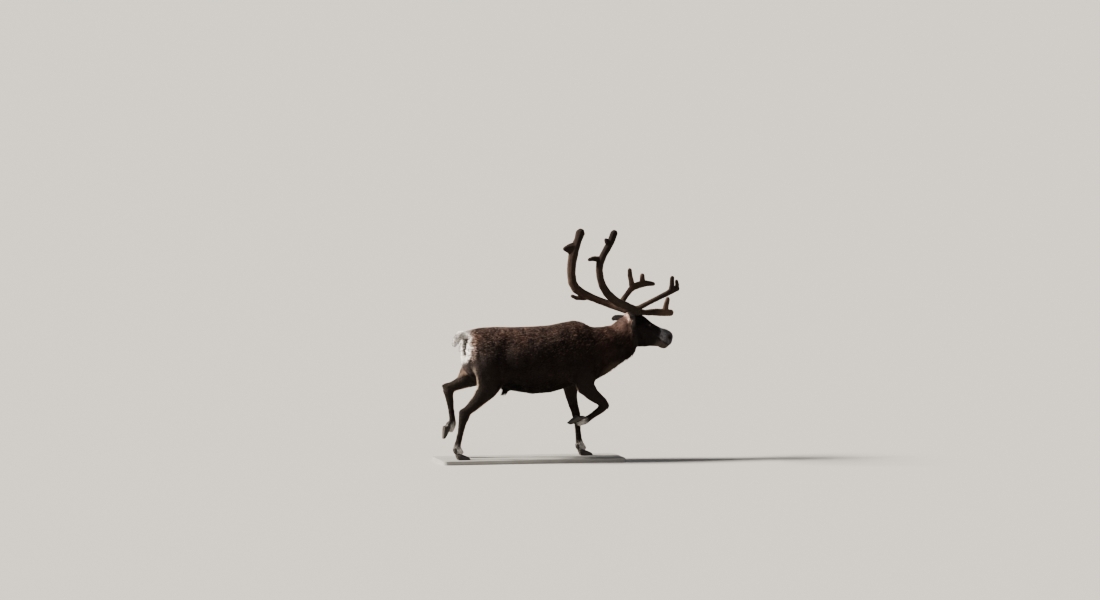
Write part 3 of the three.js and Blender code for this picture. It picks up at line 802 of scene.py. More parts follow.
# Each ear is hollowed on the face that opens, and keeps its rim. A share along the ear is 0 at
# its root and 1 at its tip.
ear = {
    "faces": {"earLeft": (0.63, 0.77, 0), "earRight": (0.88, -0.47, 0.015)},
    "depth": 0.0085,
    "halfHeight": 0.024,
    "thick": 0.03,
    "from": (0.02, 0.16),
    "to": (0.92, 0.12),
    "across": (1.0, 0.55),
    "facing": (0.15, 0.6),
}


def earFace(name):
    return np.array(antlerMatrix.to_3x3()) @ np.array(Vector(ear["faces"][name]).normalized())


def hollowEar(points, normals, name):
    start, end = lines[name][0]
    length = np.linalg.norm(end - start)
    forward = (end - start) / length
    face = earFace(name)
    share = (points - start) @ forward / length
    outline = np.sin(np.pi * np.clip(share * 0.9 + 0.1, 0, 1))
    tall = ear["halfHeight"] * np.clip(outline, 0.05, 1)
    high = np.abs((points - start) @ np.cross(face, forward)) / tall
    inside = ramp(*ear["to"], share) * ramp(*ear["from"], share) * ramp(*ear["across"], high)
    mine = ramp(*ear["facing"], normals @ face) * inside
    mine *= (np.abs((points - start) @ face) < ear["thick"]) * (share > ear["from"][0])
    return points - (ear["depth"] * mine * (share < 1))[:, None] * face


refining = {"rounds": 2, "amount": 0.6, "strokes": (0.1, 0.6)}


def sculptSkin(skin):
    refineHead(skin)
    mesh = skin.data
    points = readPoints(mesh)
    local = onHead(points)
    headShare = bodyMap(points)["weights"]["head"]
    points = Evener(mesh).even(points, refining["rounds"], refining["amount"] * headShare)
    writePoints(mesh, points)
    height = strokeHeights(local, headStrokes) * ramp(*refining["strokes"], headShare)
    height += strokeHeights(fromOrigin(points), bodyStrokes)
    height += sinewHeights(points) + cleftHeights(fromOrigin(points))
    points = points + readNormals(mesh) * height[:, None]
    writePoints(mesh, points)
    normals = readNormals(mesh)
    points = carveMouth(points, normals)
    for name in earLines:
        points = hollowEar(points, normals, name)
    for hand in (1, -1):
        points = carveEye(points, hand)
        points = carveNostril(points, hand)
    writePoints(mesh, points)


def dressed(piece, material):
    piece.data.materials.clear()
    piece.data.materials.append(material)
    piece.data.shade_smooth()


# Eyes: a ball with its cornea, the iris and a level slot pupil painted through its own map, where
# a measure is the share of the ball's width.
eye = {
    "radius": 0.0183,
    "segments": 40,
    "rings": 28,
    "cornea": {"from": 0.0115, "rise": 0.0012},
    "white": (0.06, 0.035, 0.022, 1),
    "irisEdge": (0.012, 0.006, 0.004, 1),
    "iris": (0.075, 0.032, 0.014, 1),
    "pupil": (0.002, 0.002, 0.003, 1),
    "spokes": (0.35, 0.65),
    "rim": (0.3, 0.36),
    "ball": (0.36, 0.39),
    "slot": (0.085, 0.1, 1, 0),
    "slotShape": (0.44, 1, 0),
}


def vectorMath(tree, operation, *values):
    inputs = dict(enumerate(values))
    return addNode(tree, "ShaderNodeVectorMath", inputs, operation=operation).outputs


# Lays colours one over another, each by a value within a band.
def layered(tree, colour, *layers):
    for value, band, over in layers:
        colour = mixColours(tree, rangeOf(tree, value, *band), colour, over)
    return colour


def eyeMaterial():
    material, tree = newMaterial("wetEye")
    uv = addNode(tree, "ShaderNodeUVMap", {}, uv_map="lookMap").outputs["UV"]
    middle = vectorMath(tree, "SUBTRACT", uv, (0.5, 0.5, 0))["Vector"]
    far = vectorMath(tree, "LENGTH", middle)["Value"]
    slot = vectorMath(tree, "MULTIPLY", middle, eye["slotShape"])["Vector"]
    slotFar = vectorMath(tree, "LENGTH", slot)["Value"]
    colour = layered(
        tree,
        eye["irisEdge"],
        (objectNoise(tree, 900, 3.0), eye["spokes"], eye["iris"]),
        (far, eye["rim"], eye["irisEdge"]),
        (far, eye["ball"], eye["white"]),
        (slotFar, eye["slot"], eye["pupil"]),
    )
    setShader(tree, {
        "Base Color": colour,
        "Roughness": 0.16,
        "Specular IOR Level": 0.35,
        "Coat Weight": 0.25,
        "Coat Roughness": 0.04,
    })
    return material


def makeEye(name, node, hand, material):
    radius, cornea = eye["radius"], eye["cornea"]
    bm = bmesh.new()
    bmesh.ops.create_uvsphere(
        bm, u_segments=eye["segments"], v_segments=eye["rings"], radius=radius
    )
    layer = bm.loops.layers.uv.new("lookMap")
    for loop in (loop for face in bm.faces for loop in face.loops):
        place = loop.vert.co
        far = math.hypot(place.x, place.y)
        spread = 1 if place.z > 0 or far < 1e-6 else (2 * radius - far) / far
        loop[layer].uv = [0.5 + 0.25 * value * spread / radius for value in place.xy]
    for vert in bm.verts:
        far = math.hypot(vert.co.x, vert.co.y)
        if vert.co.z > 0 and far < cornea["from"]:
            vert.co.z += cornea["rise"] * (1 - (far / cornea["from"]) ** 2)
    bmesh.ops.transform(bm, matrix=featureFrame(eyePlace, hand), verts=bm.verts)
    bmesh.ops.recalc_face_normals(bm, faces=bm.faces)
    ball = meshObject(name, bm)
    dressed(ball, material)
    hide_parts(node)
    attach(ball, root)


# Smooths a joined shape without letting it waste away: each step in is followed by one out.
roundingSteps = (0.6, -0.62)


def joined(name, names, shape):
    piece = meshObject(name, copyNodes(names, shape["overlap"]))
    remeshed(piece, shape["voxel"])
    evener = Evener(piece.data)
    points = readPoints(piece.data)
    for _ in range(shape["rounds"]):
        for step in roundingSteps:
            points = evener.even(points, 1, step)
    writePoints(piece.data, points)
    return piece


def raiseSurface(mesh, height):
    writePoints(mesh, readPoints(mesh) + readNormals(mesh) * height[:, None])


# Antlers: each side's solids are joined by a remesh, rounded, and given the lumps of the velvet.
# A lump has its scale, its height and its seed.
antler = {
    "voxel": 0.0046,
    "overlap": 0.0012,
    "rounds": 26,
    "swell": 0.0024,
    "lumps": [(20, 0.0022, 1.0), (60, 0.0009, 2.0)],
    "dark": (0.026, 0.0165, 0.012, 1),
    "pale": (0.078, 0.05, 0.037, 1),
    "paleBand": (0.35, 0.68),
    "fleck": (0.15, 0.105, 0.082, 1),
    "fleckBand": (0.52, 0.78, 0, 0.65),
    "shade": (0.009, 0.0062, 0.005, 1),
    "shadeHeight": (1.6, 1.8, 0, 0.75),
    # Painted shade: the right antler, turned away from the key light, is darkened towards this
    # colour.
    "paintedShadeRight": (0.06, 0.0, 0, 0.62),
}


def velvetMaterial():
    material, tree = newMaterial("velvet")
    broad = objectNoise(tree, 9, 3.0)
    fine = objectNoise(tree, 420, 3.0, (1, 1, 0.35), 0.65)
    place = addNode(tree, "ShaderNodeTexCoord", {}).outputs["Object"]
    split = addNode(tree, "ShaderNodeSeparateXYZ", {"Vector": place}).outputs
    colour = layered(
        tree,
        antler["dark"],
        (broad, antler["paleBand"], antler["pale"]),
        (fine, antler["fleckBand"], antler["fleck"]),
        (split["Z"], antler["shadeHeight"], antler["shade"]),
        # painted shade over the right antler
        (split["Y"], antler["paintedShadeRight"], antler["shade"]),
    )
    inputs = {
        "Base Color": colour,
        "Roughness": 0.86,
        "Specular IOR Level": 0.2,
        "Sheen Weight": 0.08,
        "Sheen Roughness": 0.45,
        "Sheen Tint": (0.62, 0.52, 0.45, 1),
    }
    setShader(tree, inputs, (fine, 0.55, 0.0012))
    return material


def makeAntler(word, material):
    names = [name for name in nodes if name.startswith("antler_" + word)]
    piece = joined("antler_" + word, names, antler)
    points = readPoints(piece.data)
    height = sum(tall * softNoise(points, scale, seed) for scale, tall, seed in antler["lumps"])
    raiseSurface(piece.data, height + antler["swell"])
    dressed(piece, material)
    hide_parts(*names)
    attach(piece, root)


# Hooves: the two claws and two dew claws of each foot, rounded, with rings of growth.
hoof = {
    "voxel": 0.003,
    "overlap": 0.0,
    "rounds": 6,
    "rings": {"spacing": 0.0075, "depth": 0.00035, "sunk": 0.0003},
    "dark": (0.018, 0.015, 0.013, 1),
    "pale": (0.085, 0.07, 0.056, 1),
    "streakBand": (0.42, 0.75, 0, 0.6),
    "wornBand": (0.5, 0.75, 0, 0.45),
    "roughBand": (0.3, 0.7, 0.38, 0.62),
}


def hornMaterial():
    material, tree = newMaterial("hoofHorn")
    streaks = objectNoise(tree, 120, 4.0, (1, 1, 0.2), 0.6)
    worn = objectNoise(tree, 28, 3.0)
    colour = layered(
        tree,
        hoof["dark"],
        (streaks, hoof["streakBand"], hoof["pale"]),
        (worn, hoof["wornBand"], hoof["pale"]),
    )
    inputs = {"Base Color": colour, "Roughness": rangeOf(tree, worn, *hoof["roughBand"])}
    setShader(tree, inputs, (streaks, 0.4, 0.001))
    return material


def makeHooves(leg, material):
    names = [name for name in nodes if name.startswith(leg) and "claw" in name]
    piece = joined(leg + "_hooves", names, hoof)
    above, toe = lines[leg][0][-2:]
    down = (toe - above) / np.linalg.norm(toe - above)
    fall = (readPoints(piece.data) - toe) @ down
    ripple = np.sin(2 * np.pi * fall / hoof["rings"]["spacing"])
    raiseSurface(piece.data, hoof["rings"]["depth"] * ripple - hoof["rings"]["sunk"])
    dressed(piece, material)
    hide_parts(*names)
    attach(piece, root)


# The base keeps its solid and gets a matt painted finish.
base = {
    "paint": (0.33, 0.325, 0.31, 1),
    "shade": (0.27, 0.265, 0.25, 1),
    "shadeBand": (0.3, 0.7),
    "roughBand": (0.3, 0.7, 0.62, 0.78),
}


def basePaint():
    material, tree = newMaterial("basePaint")
    broad = objectNoise(tree, 5, 4.0)
    grain = objectNoise(tree, 260, 3.0, (1, 0.25, 1))
    colour = layered(tree, base["paint"], (broad, base["shadeBand"], base["shade"]))
    inputs = {"Base Color": colour, "Roughness": rangeOf(tree, grain, *base["roughBand"])}
    setShader(tree, inputs, (grain, 0.15, 0.0006))
    slots = nodes["stand_base"].data.materials
    slots.clear()
    slots.append(material)


# The markings, with some painted light and shade: the colour of the coat at each place, the same
# for the skin and every tuft.
coatColours = {
    "flank": (0.02, 0.0125, 0.0105),
    "back": (0.036, 0.0175, 0.0122),
    # Painted shade: the belly is darker than the flank, as shade under the body.
    "belly": (0.008, 0.0052, 0.0042),
    "neck": (0.03, 0.0175, 0.0135),
    "neckTop": (0.18, 0.11, 0.089),
    # Pale hair behind the head, partly its own colour and partly a painted highlight on the lit
    # edge of the neck.
    "ruffHighlight": (0.62, 0.45, 0.375),
    "mane": (0.15, 0.112, 0.085),
    "leg": (0.023, 0.0155, 0.012),
    # Rear edges of the legs: partly paler hair, partly a painted highlight where light from behind
    # falls on them.
    "legRearHighlight": (0.42, 0.3, 0.23),
    "white": (0.92, 0.89, 0.85),
    # Painted shade: grey on the sides and underside of the white tail.
    "tailSideShade": (0.085, 0.082, 0.088),
    # The cleft under the tail: partly bare dark skin, partly painted shade.
    "underTailShade": (0.06, 0.056, 0.062),
    "face": (0.015, 0.0112, 0.0108),
    "cheek": (0.03, 0.021, 0.02),
    "muzzle": (0.155, 0.153, 0.162),
    # Painted highlight along the top of the nose.
    "bridgeHighlight": (0.62, 0.59, 0.57),
    "chin": (0.085, 0.068, 0.058),
    "nose": (0.07, 0.068, 0.073),
    "lidSkin": (0.02, 0.015, 0.014),
    "earInside": (0.03, 0.021, 0.017),
    "innerLeg": (0.06, 0.046, 0.037),
    # A pale line on the back of the right thigh, partly the edge of the rump's white and partly a
    # painted highlight.
    "thighLineHighlight": (0.68, 0.56, 0.45),
}
coatNoise = [(6.0, 1.0), (17.0, 2.0), (60.0, 3.0)]  # scale and seed: broad, patchy and fine


# Lays the named colours one over another, each by its share at each place.
def marked(colours, layers):
    for name, share in layers:
        share = np.clip(share, 0, 1)[:, None]
        colours = colours * (1 - share) + np.array(coatColours[name]) * share
    return colours


# How far a place is above the slope of the chest.
def aboveChest(x, z):
    return z - (0.7 + 0.66 * (x - 0.5))


# How far a place is in front of the edge where the neck's hair ends at the back of the head.
def headEdge(points):
    along, _, up = onHead(points).T
    return along + 0.047 + 0.7 * np.minimum(up + 0.034, 0)


# Bands on the body, in metres: where a marking begins and where it is full.
bands = {
    "belly": (0.7, 0.6),
    "topLine": (0.9, 1.1),
    "nape": (0.015, 0.085),
    "napeLength": (0.46, 0.68),
    "ruffHighlight": (-0.04, -0.014),
    "ruffHeight": (1.02, 1.1),
    "throat": (0.05, 0.01),
    "throatFrom": (0.5, 0.57),
    "throatTo": (0.73, 0.66),
    "leg": (0.95, 0.75),
    "innerLeg": (0.35, 0.6),
    "rightThigh": [(0.9, 0.84), (0.46, 0.56), (-0.01, -0.04)],
    "leftThigh": [(0.84, 0.8), (0.66, 0.71), (0.01, 0.04)],
    "cleftSide": (0.036, 0.022),
    "cleftBack": (-0.58, -0.6),
    "cleftLow": (0.855, 0.885),
    "cleftHigh": (1.04, 1.0),
}
napeLine = [(0.45, 0.62, 0.7, 0.8), (1.12, 1.05, 1.01, 1.0)]


def band(name, value):
    return ramp(*bands[name], value)


def coatColour(points, normals, body):
    weights, places = body["weights"], body["places"]
    neck, legs, tail = weights["neck"], weights["legs"], weights["tail"]
    x, y, z = fromOrigin(points).T
    broad, patchy, fine = (softNoise(points, *look) for look in coatNoise)
    ragged = 0.5 * patchy + 0.5 * fine
    topLine = band("topLine", z + 0.07 * broad + 0.05 * ragged)
    colours = marked(np.tile(coatColours["flank"], (len(points), 1)), [
        # painted shade under the body
        ("belly", band("belly", z) * weights["trunk"]),
        ("neck", neck * (0.45 + 0.6 * broad)),
        ("back", topLine * (0.85 + 0.5 * patchy)),
    ])
    colours = colours * np.exp(0.5 * broad + 0.45 * patchy)[:, None]
    nape = band("nape", z - np.interp(x, *napeLine) + 0.05 * ragged) * band("napeLength", x)
    # a painted highlight, with the pale hair, along the edge of the neck behind the head
    ruffHighlight = band("ruffHighlight", headEdge(points)) * band("ruffHeight", z + 0.04 * ragged)
    throat = band("throat", aboveChest(x, z) + 0.04 * ragged)
    throat *= band("throatFrom", x) * band("throatTo", x)
    inner = legs * ramp(0.25, 0.75, -np.sign(y) * normals[:, 1]) * band("innerLeg", z)
    layers = [
        ("neckTop", nape * (0.75 + 0.5 * fine)),
        ("ruffHighlight", 0.9 * ruffHighlight),
        ("mane", 0.75 * neck * throat),
        ("leg", 0.9 * legs * band("leg", z)),
        ("innerLeg", 0.5 * inner),
    ]
    for name in legNames:
        hind = name.startswith("hind")
        place, _, heading = alongLine(points, name)
        # Painted highlight, with paler hair, on the faces of each leg turned to the back.
        rearHighlight = ramp(0.6, 0.97, dot(normals, backward(heading)) + 0.15 * ragged)
        rearHighlight *= ramp(0.0, 0.05, place) if hind else ramp(0.52, 0.62, place)
        pastern = ramp(0.87, 0.95, place + 0.03 * ragged)
        layers += [
            ("legRearHighlight", (0.9 if hind else 0.45) * weights[name] * rearHighlight),
            ("white", 0.6 * weights[name] * pastern),
        ]
    # Painted highlight, with pale hair, on the back faces of the thighs.
    behind = -normals[:, 0] + 0.1 * ragged
    thighs = []
    for side, facing in (("rightThigh", (0.72, 0.93)), ("leftThigh", (0.3, 0.7))):
        high, low, across = bands[side]
        thigh = ramp(*facing, behind) * ramp(*high, z) * ramp(*low, z) * legs
        thighs.append(thigh * ramp(*across, y))
    # painted shade on the sides of the tail, away from its top
    side = ramp(0.95, 0.55, normals[:, 2]) * ramp(0.8, 0.55, places["tail"])
    side *= ramp(0.02, 0.1, places["tail"] + 0.2 * (z - 1.0))
    layers += [
        ("thighLineHighlight", thighs[0]),
        ("legRearHighlight", 0.85 * thighs[1]),
        ("white", 0.95 * rumpShare(x, y, z, ragged)),
        # bare skin and painted shade in the cleft under the tail
        ("underTailShade", cleftShare(x, y, z) * (1 - tail)),
        ("white", tail),
        ("tailSideShade", 0.8 * tail * side),
    ]
    return marked(colours, layers + faceLayers(points, normals, body, ragged))


# The white of the rump keeps to the back of the buttocks.
rump = {
    "edge": [
        (0.74, 0.79, 0.83, 0.87, 0.91, 1.01, 1.05),
        (-0.66, -0.632, -0.606, -0.596, -0.592, -0.588, -0.588),
    ],
    "blend": (0.008, -0.012),
    "low": {"right": 0.775, "left": 0.75, "middle": (-0.03, 0.03), "blend": 0.05},
    "high": (1.075, 1.045),
}


def rumpShare(x, y, z, ragged):
    share = ramp(*rump["blend"], x - np.interp(z, *rump["edge"]) + 0.045 * ragged)
    left = ramp(*rump["low"]["middle"], y)
    low = rump["low"]["right"] * (1 - left) + rump["low"]["left"] * left
    share *= ramp(low, low + rump["low"]["blend"], z + 0.04 * ragged)
    return share * ramp(*rump["high"], z + 0.02 * ragged)


def cleftShare(x, y, z):
    share = band("cleftSide", np.abs(y - rumpCleft["middle"])) * band("cleftBack", x)
    return share * band("cleftLow", z) * band("cleftHigh", z)


# Places near an eye, within a reach and a depth, and how far each is out of its opening.
def eyeLevel(points, hand, reach, depth):
    spot = moved(points, featureFrame(eyePlace, hand).inverted())
    near = (np.hypot(spot[:, 0], spot[:, 1]) < reach) & (spot[:, 2] > -depth)
    return near, roundness(spot, eyeOpening)


# Bands on the head's own lengths and heights, in metres.
faceBands = {
    "edge": (-0.006, 0.006),
    "cheek": [(-0.06, -0.12), (0.26, 0.08)],
    "muzzle": [(0.252, 0.284), (0.29, 0.325), (-0.14, -0.11)],
    "bridgeHighlight": [(0.02, 0.005), (0.245, 0.28), (-0.06, -0.03), (0.39, 0.365)],
    "chin": [(-0.118, -0.14), (0.25, 0.31)],
    "nose": [(0.365, 0.4), (-0.115, -0.1)],
    "nostril": (0.03, 0.012),
    "lips": (0.006, 0.0015),
    "lids": (1.45, 1.15),
    "lidReach": (0.05, 0.01),
}


def bandsOf(name, *values):
    shares = [ramp(*edges, value) for edges, value in zip(faceBands[name], values)]
    return math.prod(shares)


def faceLayers(points, normals, body, ragged):
    weights = body["weights"]
    local = onHead(points)
    along, out, up = folded(local).T
    edge = ramp(*faceBands["edge"], headEdge(points) + 0.01 * ragged)
    head = np.maximum(weights["head"], edge)
    wavy = along + 0.03 * ragged
    ring = along + 0.35 * (up + 0.03) + 0.05 * ragged
    onRing, far, high = (ramp(*e, v) for e, v in zip(faceBands["muzzle"], (ring, ring, up)))
    nostril = distance(folded(local), nostrilPlace["middle"]) + 0.008 * ragged
    above, onLips = lipHeight(local)
    layers = [
        ("face", np.maximum(edge, ramp(0.25, 0.6, weights["ears"]))),
        ("cheek", 0.6 * head * bandsOf("cheek", up, along)),
        ("muzzle", head * onRing * (1 - 0.55 * far) * high),
        # a painted highlight along the top of the nose
        ("bridgeHighlight", 0.85 * head * bandsOf("bridgeHighlight", out, wavy, up, along)),
        ("chin", 0.8 * head * bandsOf("chin", up, wavy)),
        ("nose", 0.75 * head * bandsOf("nose", along + 0.1 * (up + 0.05), up)),
        ("lidSkin", 0.92 * ramp(*faceBands["nostril"], nostril)),
        ("lidSkin", 0.9 * onLips * head * ramp(*faceBands["lips"], np.abs(above))),
    ]
    for hand in (1, -1):
        near, level = eyeLevel(points, hand, *faceBands["lidReach"])
        layers.append(("lidSkin", 0.95 * near * ramp(*faceBands["lids"], level)))
    for name in earLines:
        inside = ramp(0.1, 0.6, normals @ earFace(name)) * ramp(0.15, 0.3, body["places"][name])
        layers.append(("earInside", 0.8 * weights[name] * inside))
    return layers


def storeColours(mesh, colours):
    layer = mesh.color_attributes.new("coatColour", "FLOAT_COLOR", "POINT")
    full = np.ones((len(mesh.vertices), 4), dtype=np.float32)
    full[:, :3] = colours
    layer.data.foreach_set("color", full.ravel())


# Darkens and lightens a colour by a value within a band.
def varied(tree, colour, amount, value, band):
    level = rangeOf(tree, value, *band)
    grey = addNode(tree, "ShaderNodeCombineColor", dict.fromkeys(("Red", "Green", "Blue"), level))
    return mixColours(tree, amount, colour, grey.outputs["Color"], "MULTIPLY")


# A coat's material: the markings, varied by its noises, each with an amount and a band.
def hairMaterial(name, look):
    material, tree = newMaterial(name)
    colour = addNode(tree, "ShaderNodeAttribute", {}, attribute_name="coatColour").outputs["Color"]
    noises = [objectNoise(tree, *settings) for settings in look["noises"]]
    for value, (amount, band) in zip(noises, look["varied"]):
        colour = varied(tree, colour, amount, value, band)
    bump = (noises[0], *look["bump"]) if "bump" in look else None
    setShader(tree, {"Base Color": colour, "Specular IOR Level": 0.2, **look["shader"]}, bump)
    return material


# Skin under the coat: short flat hair in colour and relief.
skinLook = {
    "noises": [(300, 4.0, (0.35, 1, 0.75), 0.7), (26, 3.0)],
    "varied": [(0.85, (0.3, 0.72, 0.45, 1.6)), (0.6, (0.3, 0.7, 0.75, 1.3))],
    "shader": {"Roughness": 0.72, "Sheen Weight": 0.05, "Sheen Roughness": 0.5},
    "bump": (0.7, 0.0022),
}
coatLook = {
    "noises": [(520, 2.0, (0.5, 1, 0.8), 0.6)],
    "varied": [(0.7, (0.3, 0.7, 0.6, 1.4))],
    "shader": {"Roughness": 0.58, "Sheen Weight": 0.04, "Sheen Roughness": 0.4},
}


# Length, width, height of the tip and share of tufts for each part of the coat, in metres.
tuftRules = {
    "legs": {"length": 0.017, "width": 0.0031, "rise": 0.0024, "share": 1.8},
    "ears": {"length": 0.011, "width": 0.0022, "rise": 0.0016, "share": 2.8},
    "trunk": {"length": 0.031, "width": 0.0046, "rise": 0.007, "share": 1.0},
    "neck": {"length": 0.044, "width": 0.005, "rise": 0.0105, "share": 1.3},
    "head": {"length": 0.012, "width": 0.0024, "rise": 0.002, "share": 2.8},
    "tail": {"length": 0.025, "width": 0.0038, "rise": 0.0065, "share": 3.0},
}
# What some places add to their tufts, as a share. Droop is the fall of the tip for its length.
tuftPlaces = {
    "throat": {"length": 0.55, "rise": 0.2, "droop": 0.22},
    "belly": {"length": 0.35, "droop": 0.12},
    "rump": {"length": 0.1, "rise": -0.35},
    "cleft": {"length": -0.55, "rise": -0.5},
    "tailTip": {"length": -0.35},
    "heel": {"length": 0.5},
    "muzzle": {"length": -0.45, "rise": -0.35},
    "neck": {"droop": 0.1},
    "tail": {"droop": 0.1},
}
coat = {
    "pieces": 7,
    "tuftsInPiece": 19900,
    "seed": 11,
    "lengths": (0.72, 1.22),
    "rises": (0.35, 1.1),
    "widths": (0.75, 1.25),
    "wander": {"scale": 22.0, "seeds": (4.0, 5.0, 6.0), "amount": 0.55, "stray": 0.1},
}


def tuftRule(body, key):
    return sum(rule[key] * body["weights"][name] for name, rule in tuftRules.items())


def muzzleShare(body):
    return body["weights"]["head"] * ramp(0.45, 0.15, body["places"]["head"])


def skinTriangles(mesh):
    mesh.calc_loop_triangles()
    triangles = mesh.loop_triangles
    corners, loops = np.zeros((2, len(triangles) * 3), dtype=np.int32)
    triangles.foreach_get("vertices", corners)
    triangles.foreach_get("loops", loops)
    places = np.zeros(len(mesh.loops) * 2)
    mesh.uv_layers["skinMap"].data.foreach_get("uv", places)
    return corners.reshape(-1, 3), loops.reshape(-1, 3), places.reshape(-1, 2)


# No hair grows on the eyes, in the nostrils or on the edge of the lips: how far out it starts.
bald = {"nostril": (0.015, 0.011), "lips": 0.0022, "eye": 1.28, "eyeReach": (0.04, 0.012)}


def bareShare(points):
    local = onHead(points)
    bare = ramp(*bald["nostril"], distance(folded(local), nostrilPlace["middle"]))
    above, onLips = lipHeight(local)
    bare = np.maximum(bare, onLips * (np.abs(above) < bald["lips"]))
    for hand in (1, -1):
        near, level = eyeLevel(points, hand, *bald["eyeReach"])
        bare = np.maximum(bare, near * (level < bald["eye"]))
    return bare


def makeCoat(skin, material):
    rng = np.random.default_rng(coat["seed"])
    corners, loops, places = skinTriangles(skin.data)
    points, pointNormals = readPoints(skin.data), readNormals(skin.data)
    a, b, c = (points[corners[:, k]] for k in range(3))
    area = np.linalg.norm(np.cross(b - a, c - a), axis=1) / 2
    middles = (a + b + c) / 3
    share = area * tuftRule(bodyMap(middles), "share") * (1 - bareShare(middles))
    total = coat["pieces"] * coat["tuftsInPiece"]
    chosen = rng.choice(len(corners), size=total, p=share / share.sum())
    u, v = rng.random(total), rng.random(total)
    over = u + v > 1
    u[over], v[over] = 1 - u[over], 1 - v[over]
    mix = np.array([1 - u - v, u, v]).T[:, :, None]
    roots = (points[corners[chosen]] * mix).sum(1)
    normals = unit((pointNormals[corners[chosen]] * mix).sum(1))
    marks = (places[loops[chosen]] * mix).sum(1)
    print("roots chosen:", total)
    body = bodyMap(roots)
    length, rise, droop, lie = shapeTufts(roots, normals, body, rng)
    tufts = {
        "roots": roots,
        "normals": normals,
        "lie": lie,
        "marks": marks,
        "length": length,
        "width": tuftRule(body, "width") * rng.uniform(*coat["widths"], total),
        "rise": rise,
        "droop": droop,
        "colours": tuftColours(coatColour(roots, normals, body), roots, body, rng),
    }
    for piece in range(coat["pieces"]):
        mine = {key: values[piece :: coat["pieces"]] for key, values in tufts.items()}
        addTufts("coat" + str(piece + 1), mine, material)


# Each lock has its own length, and its lie wanders from the next one's.
def shapeTufts(roots, normals, body, rng):
    weights, places = body["weights"], body["places"]
    x, y, z = fromOrigin(roots).T
    shares = {
        "throat": weights["neck"] * ramp(0.16, 0.02, aboveChest(x, z)) * ramp(0.38, 0.5, x),
        "belly": weights["trunk"] * ramp(0.66, 0.58, z),
        "rump": weights["trunk"] * ramp(-0.58, -0.64, x),
        "cleft": cleftShare(x, y, z),
        "tailTip": weights["tail"] * ramp(0.6, 0.95, places["tail"]),
        "heel": sum(weights[name] * ramp(0.84, 0.93, places[name]) for name in legNames),
        "muzzle": muzzleShare(body),
        "neck": weights["neck"],
        "tail": weights["tail"],
    }
    length, rise, droop = tuftRule(body, "length"), tuftRule(body, "rise"), 0
    for name, more in tuftPlaces.items():
        length = length * (1 + more.get("length", 0) * shares[name])
        rise = rise * (1 + more.get("rise", 0) * shares[name])
        droop = droop + more.get("droop", 0) * shares[name]
    total = len(roots)
    length = length * rng.uniform(*coat["lengths"], total)
    rise = rise * rng.uniform(*coat["rises"], total)
    wander = coat["wander"]
    ways = np.array([softNoise(roots, wander["scale"], seed) for seed in wander["seeds"]]).T
    stray = rng.normal(0, wander["stray"], (total, 3))
    lie = body["lie"] + wander["amount"] * ways + stray
    lie = unit(lie - dot(lie, normals)[:, None] * normals)
    return length, rise, droop, lie


# Each lock's tone differs a little from the next, some on the top of the back and neck are paler as
# painted highlights of sun on the hair, and the edge of the rump is mottled. A mix has its chance,
# its share and its colour.
tuftMix = {
    "tone": (0.2, 0.35),
    # painted highlights of sun on the hair
    "fleck": {"chance": 0.18, "share": 0.5, "colour": (0.25, 0.168, 0.138)},
    "mottle": {"chance": 0.42, "share": 0.6, "colour": (0.52, 0.4, 0.36)},
    "brightest": 0.94,
}


def mixedIn(colours, name, places, rng):
    mix = tuftMix[name]
    chosen = (rng.random(len(colours)) < mix["chance"] * places)[:, None]
    over = (1 - mix["share"]) * colours + mix["share"] * np.array(mix["colour"])
    return np.where(chosen, over, colours)


def tuftColours(colours, roots, body, rng):
    weights = body["weights"]
    x, _, z = fromOrigin(roots).T
    steady, nose = tuftMix["tone"]
    tone = np.exp(rng.normal(0, 1, len(roots)) * (steady + nose * muzzleShare(body)))
    # Painted highlights: pale flecks on the top of the back and neck.
    upper = ramp(0.8, 1.04, z) * weights["trunk"] + 0.8 * ramp(0.9, 1.05, z) * weights["neck"]
    upper = upper * ramp(0.0, -0.02, headEdge(roots))
    edge = ramp(-0.53, -0.58, x) * ramp(-0.625, -0.605, x) * ramp(0.8, 0.86, z) * weights["trunk"]
    colours = mixedIn(colours * tone[:, None], "fleck", upper, rng)
    return np.minimum(mixedIn(colours, "mottle", edge, rng), tuftMix["brightest"])


# Tufts: each is a thin closed lock of a few faces, from just under the skin to its tip. A ring of
# three points has its place along the lock and its share of the width.
tuftShape = {
    "rings": [(0.0, 0.75), (0.5, 1.0)],
    "across": (-0.5, 0.5, 0.0),
    "high": (0.0, 0.0, 1.0),
    "thick": 0.3,
    "embed": 0.0012,
    "patch": 0.003,
}


def tuftLine(tufts, u):
    length, embed = tufts["length"], tuftShape["embed"] * (1 - u)
    place = tufts["roots"] + tufts["lie"] * (length * u)[:, None]
    place = place + tufts["normals"] * (tufts["rise"] * (2 * u - u * u) - embed)[:, None]
    place[:, 2] -= tufts["droop"] * length * u * u
    return place


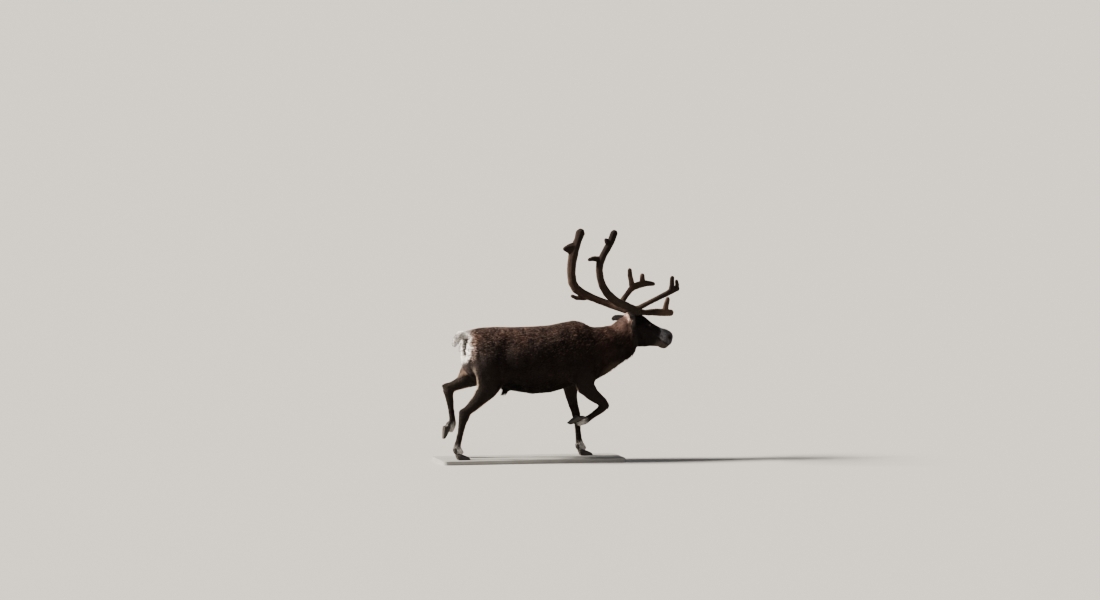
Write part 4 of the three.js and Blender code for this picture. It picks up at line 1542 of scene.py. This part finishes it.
def addTufts(name, tufts, material):
    rings, patchSize = tuftShape["rings"], tuftShape["patch"]
    total, count = len(tufts["roots"]), 3 * len(rings) + 1
    side = unit(np.cross(tufts["lie"], tufts["normals"]))
    points = np.zeros((total, count, 3))
    patch = np.zeros((count, 2))
    for k, (u, wide) in enumerate(rings):
        middle, width = tuftLine(tufts, u), wide * tufts["width"]
        for j, (across, high) in enumerate(zip(tuftShape["across"], tuftShape["high"])):
            points[:, 3 * k + j] = middle + side * (across * width)[:, None]
            lift = high * width * tuftShape["thick"]
            points[:, 3 * k + j] += tufts["normals"] * lift[:, None]
            patch[3 * k + j] = across * patchSize, (u - 0.5) * patchSize
    points[:, -1] = tuftLine(tufts, 1.0)
    patch[-1] = 0, 0.5 * patchSize
    last = count - 4
    turns = [(j, (j + 1) % 3) for j in range(3)]
    faces = [(0, 1, 2)] + [(last + j, count - 1, last + after) for j, after in turns]
    for start in range(0, last, 3):
        faces += [(start + j, start + 3 + j, start + 3 + n, start + n) for j, n in turns]
    loops = [corner for face in faces for corner in face]
    starts = np.cumsum([0] + [len(face) for face in faces[:-1]])
    step = np.arange(total)[:, None]
    mesh = bpy.data.meshes.new(name)
    mesh.vertices.add(total * count)
    mesh.loops.add(total * len(loops))
    mesh.polygons.add(total * len(faces))
    corners = (np.array(loops) + step * count).astype(np.int32)
    starts = (starts + step * len(loops)).astype(np.int32)
    mesh.vertices.foreach_set("co", points.astype(np.float32).ravel())
    mesh.loops.foreach_set("vertex_index", corners.ravel())
    mesh.polygons.foreach_set("loop_start", starts.ravel())
    mesh.update(calc_edges=True)
    layer = mesh.uv_layers.new(name="OFBake")
    uv = tufts["marks"][:, None, :] + patch[loops]
    layer.data.foreach_set("uv", uv.astype(np.float32).ravel())
    storeColours(mesh, np.repeat(tufts["colours"], count, axis=0))
    piece = addObject(name, mesh)
    dressed(piece, material)
    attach(piece, root)


skinMap = {"angle": 72, "margin": 0.003}


def mapSkin(skin):
    bpy.context.view_layer.objects.active = skin
    skin.select_set(True)
    skin.data.uv_layers.new(name="skinMap")
    bpy.ops.object.mode_set(mode="EDIT")
    bpy.ops.mesh.select_all(action="SELECT")
    angle = math.radians(skinMap["angle"])
    bpy.ops.uv.smart_project(angle_limit=angle, island_margin=skinMap["margin"])
    bpy.ops.object.mode_set(mode="OBJECT")
    skin.select_set(False)


addCamera()
addStudio()
print("camera and studio made")
skin = makeSkin()
print("skin joined:", len(skin.data.polygons), "faces")
sculptSkin(skin)
print("skin sculpted:", len(skin.data.polygons), "faces")
dressed(skin, hairMaterial("shortCoat", skinLook))
skinPoints = readPoints(skin.data)
skinBody = bodyMap(skinPoints)
storeColours(skin.data, coatColour(skinPoints, readNormals(skin.data), skinBody))
mapSkin(skin)
print("skin mapped")
makeCoat(skin, hairMaterial("coatHair", coatLook))
print("coat made")
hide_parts(*fleshNodes)
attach(skin, root)

eyePaint = eyeMaterial()
makeEye("eyeLeft", "eye_left", 1, eyePaint)
makeEye("eyeRight", "eye_right", -1, eyePaint)
print("eyes made")
velvet = velvetMaterial()
makeAntler("left", velvet)
makeAntler("right", velvet)
print("antlers made")
horn = hornMaterial()
for leg in legNames:
    makeHooves(leg, horn)
basePaint()
print("hooves and base made")
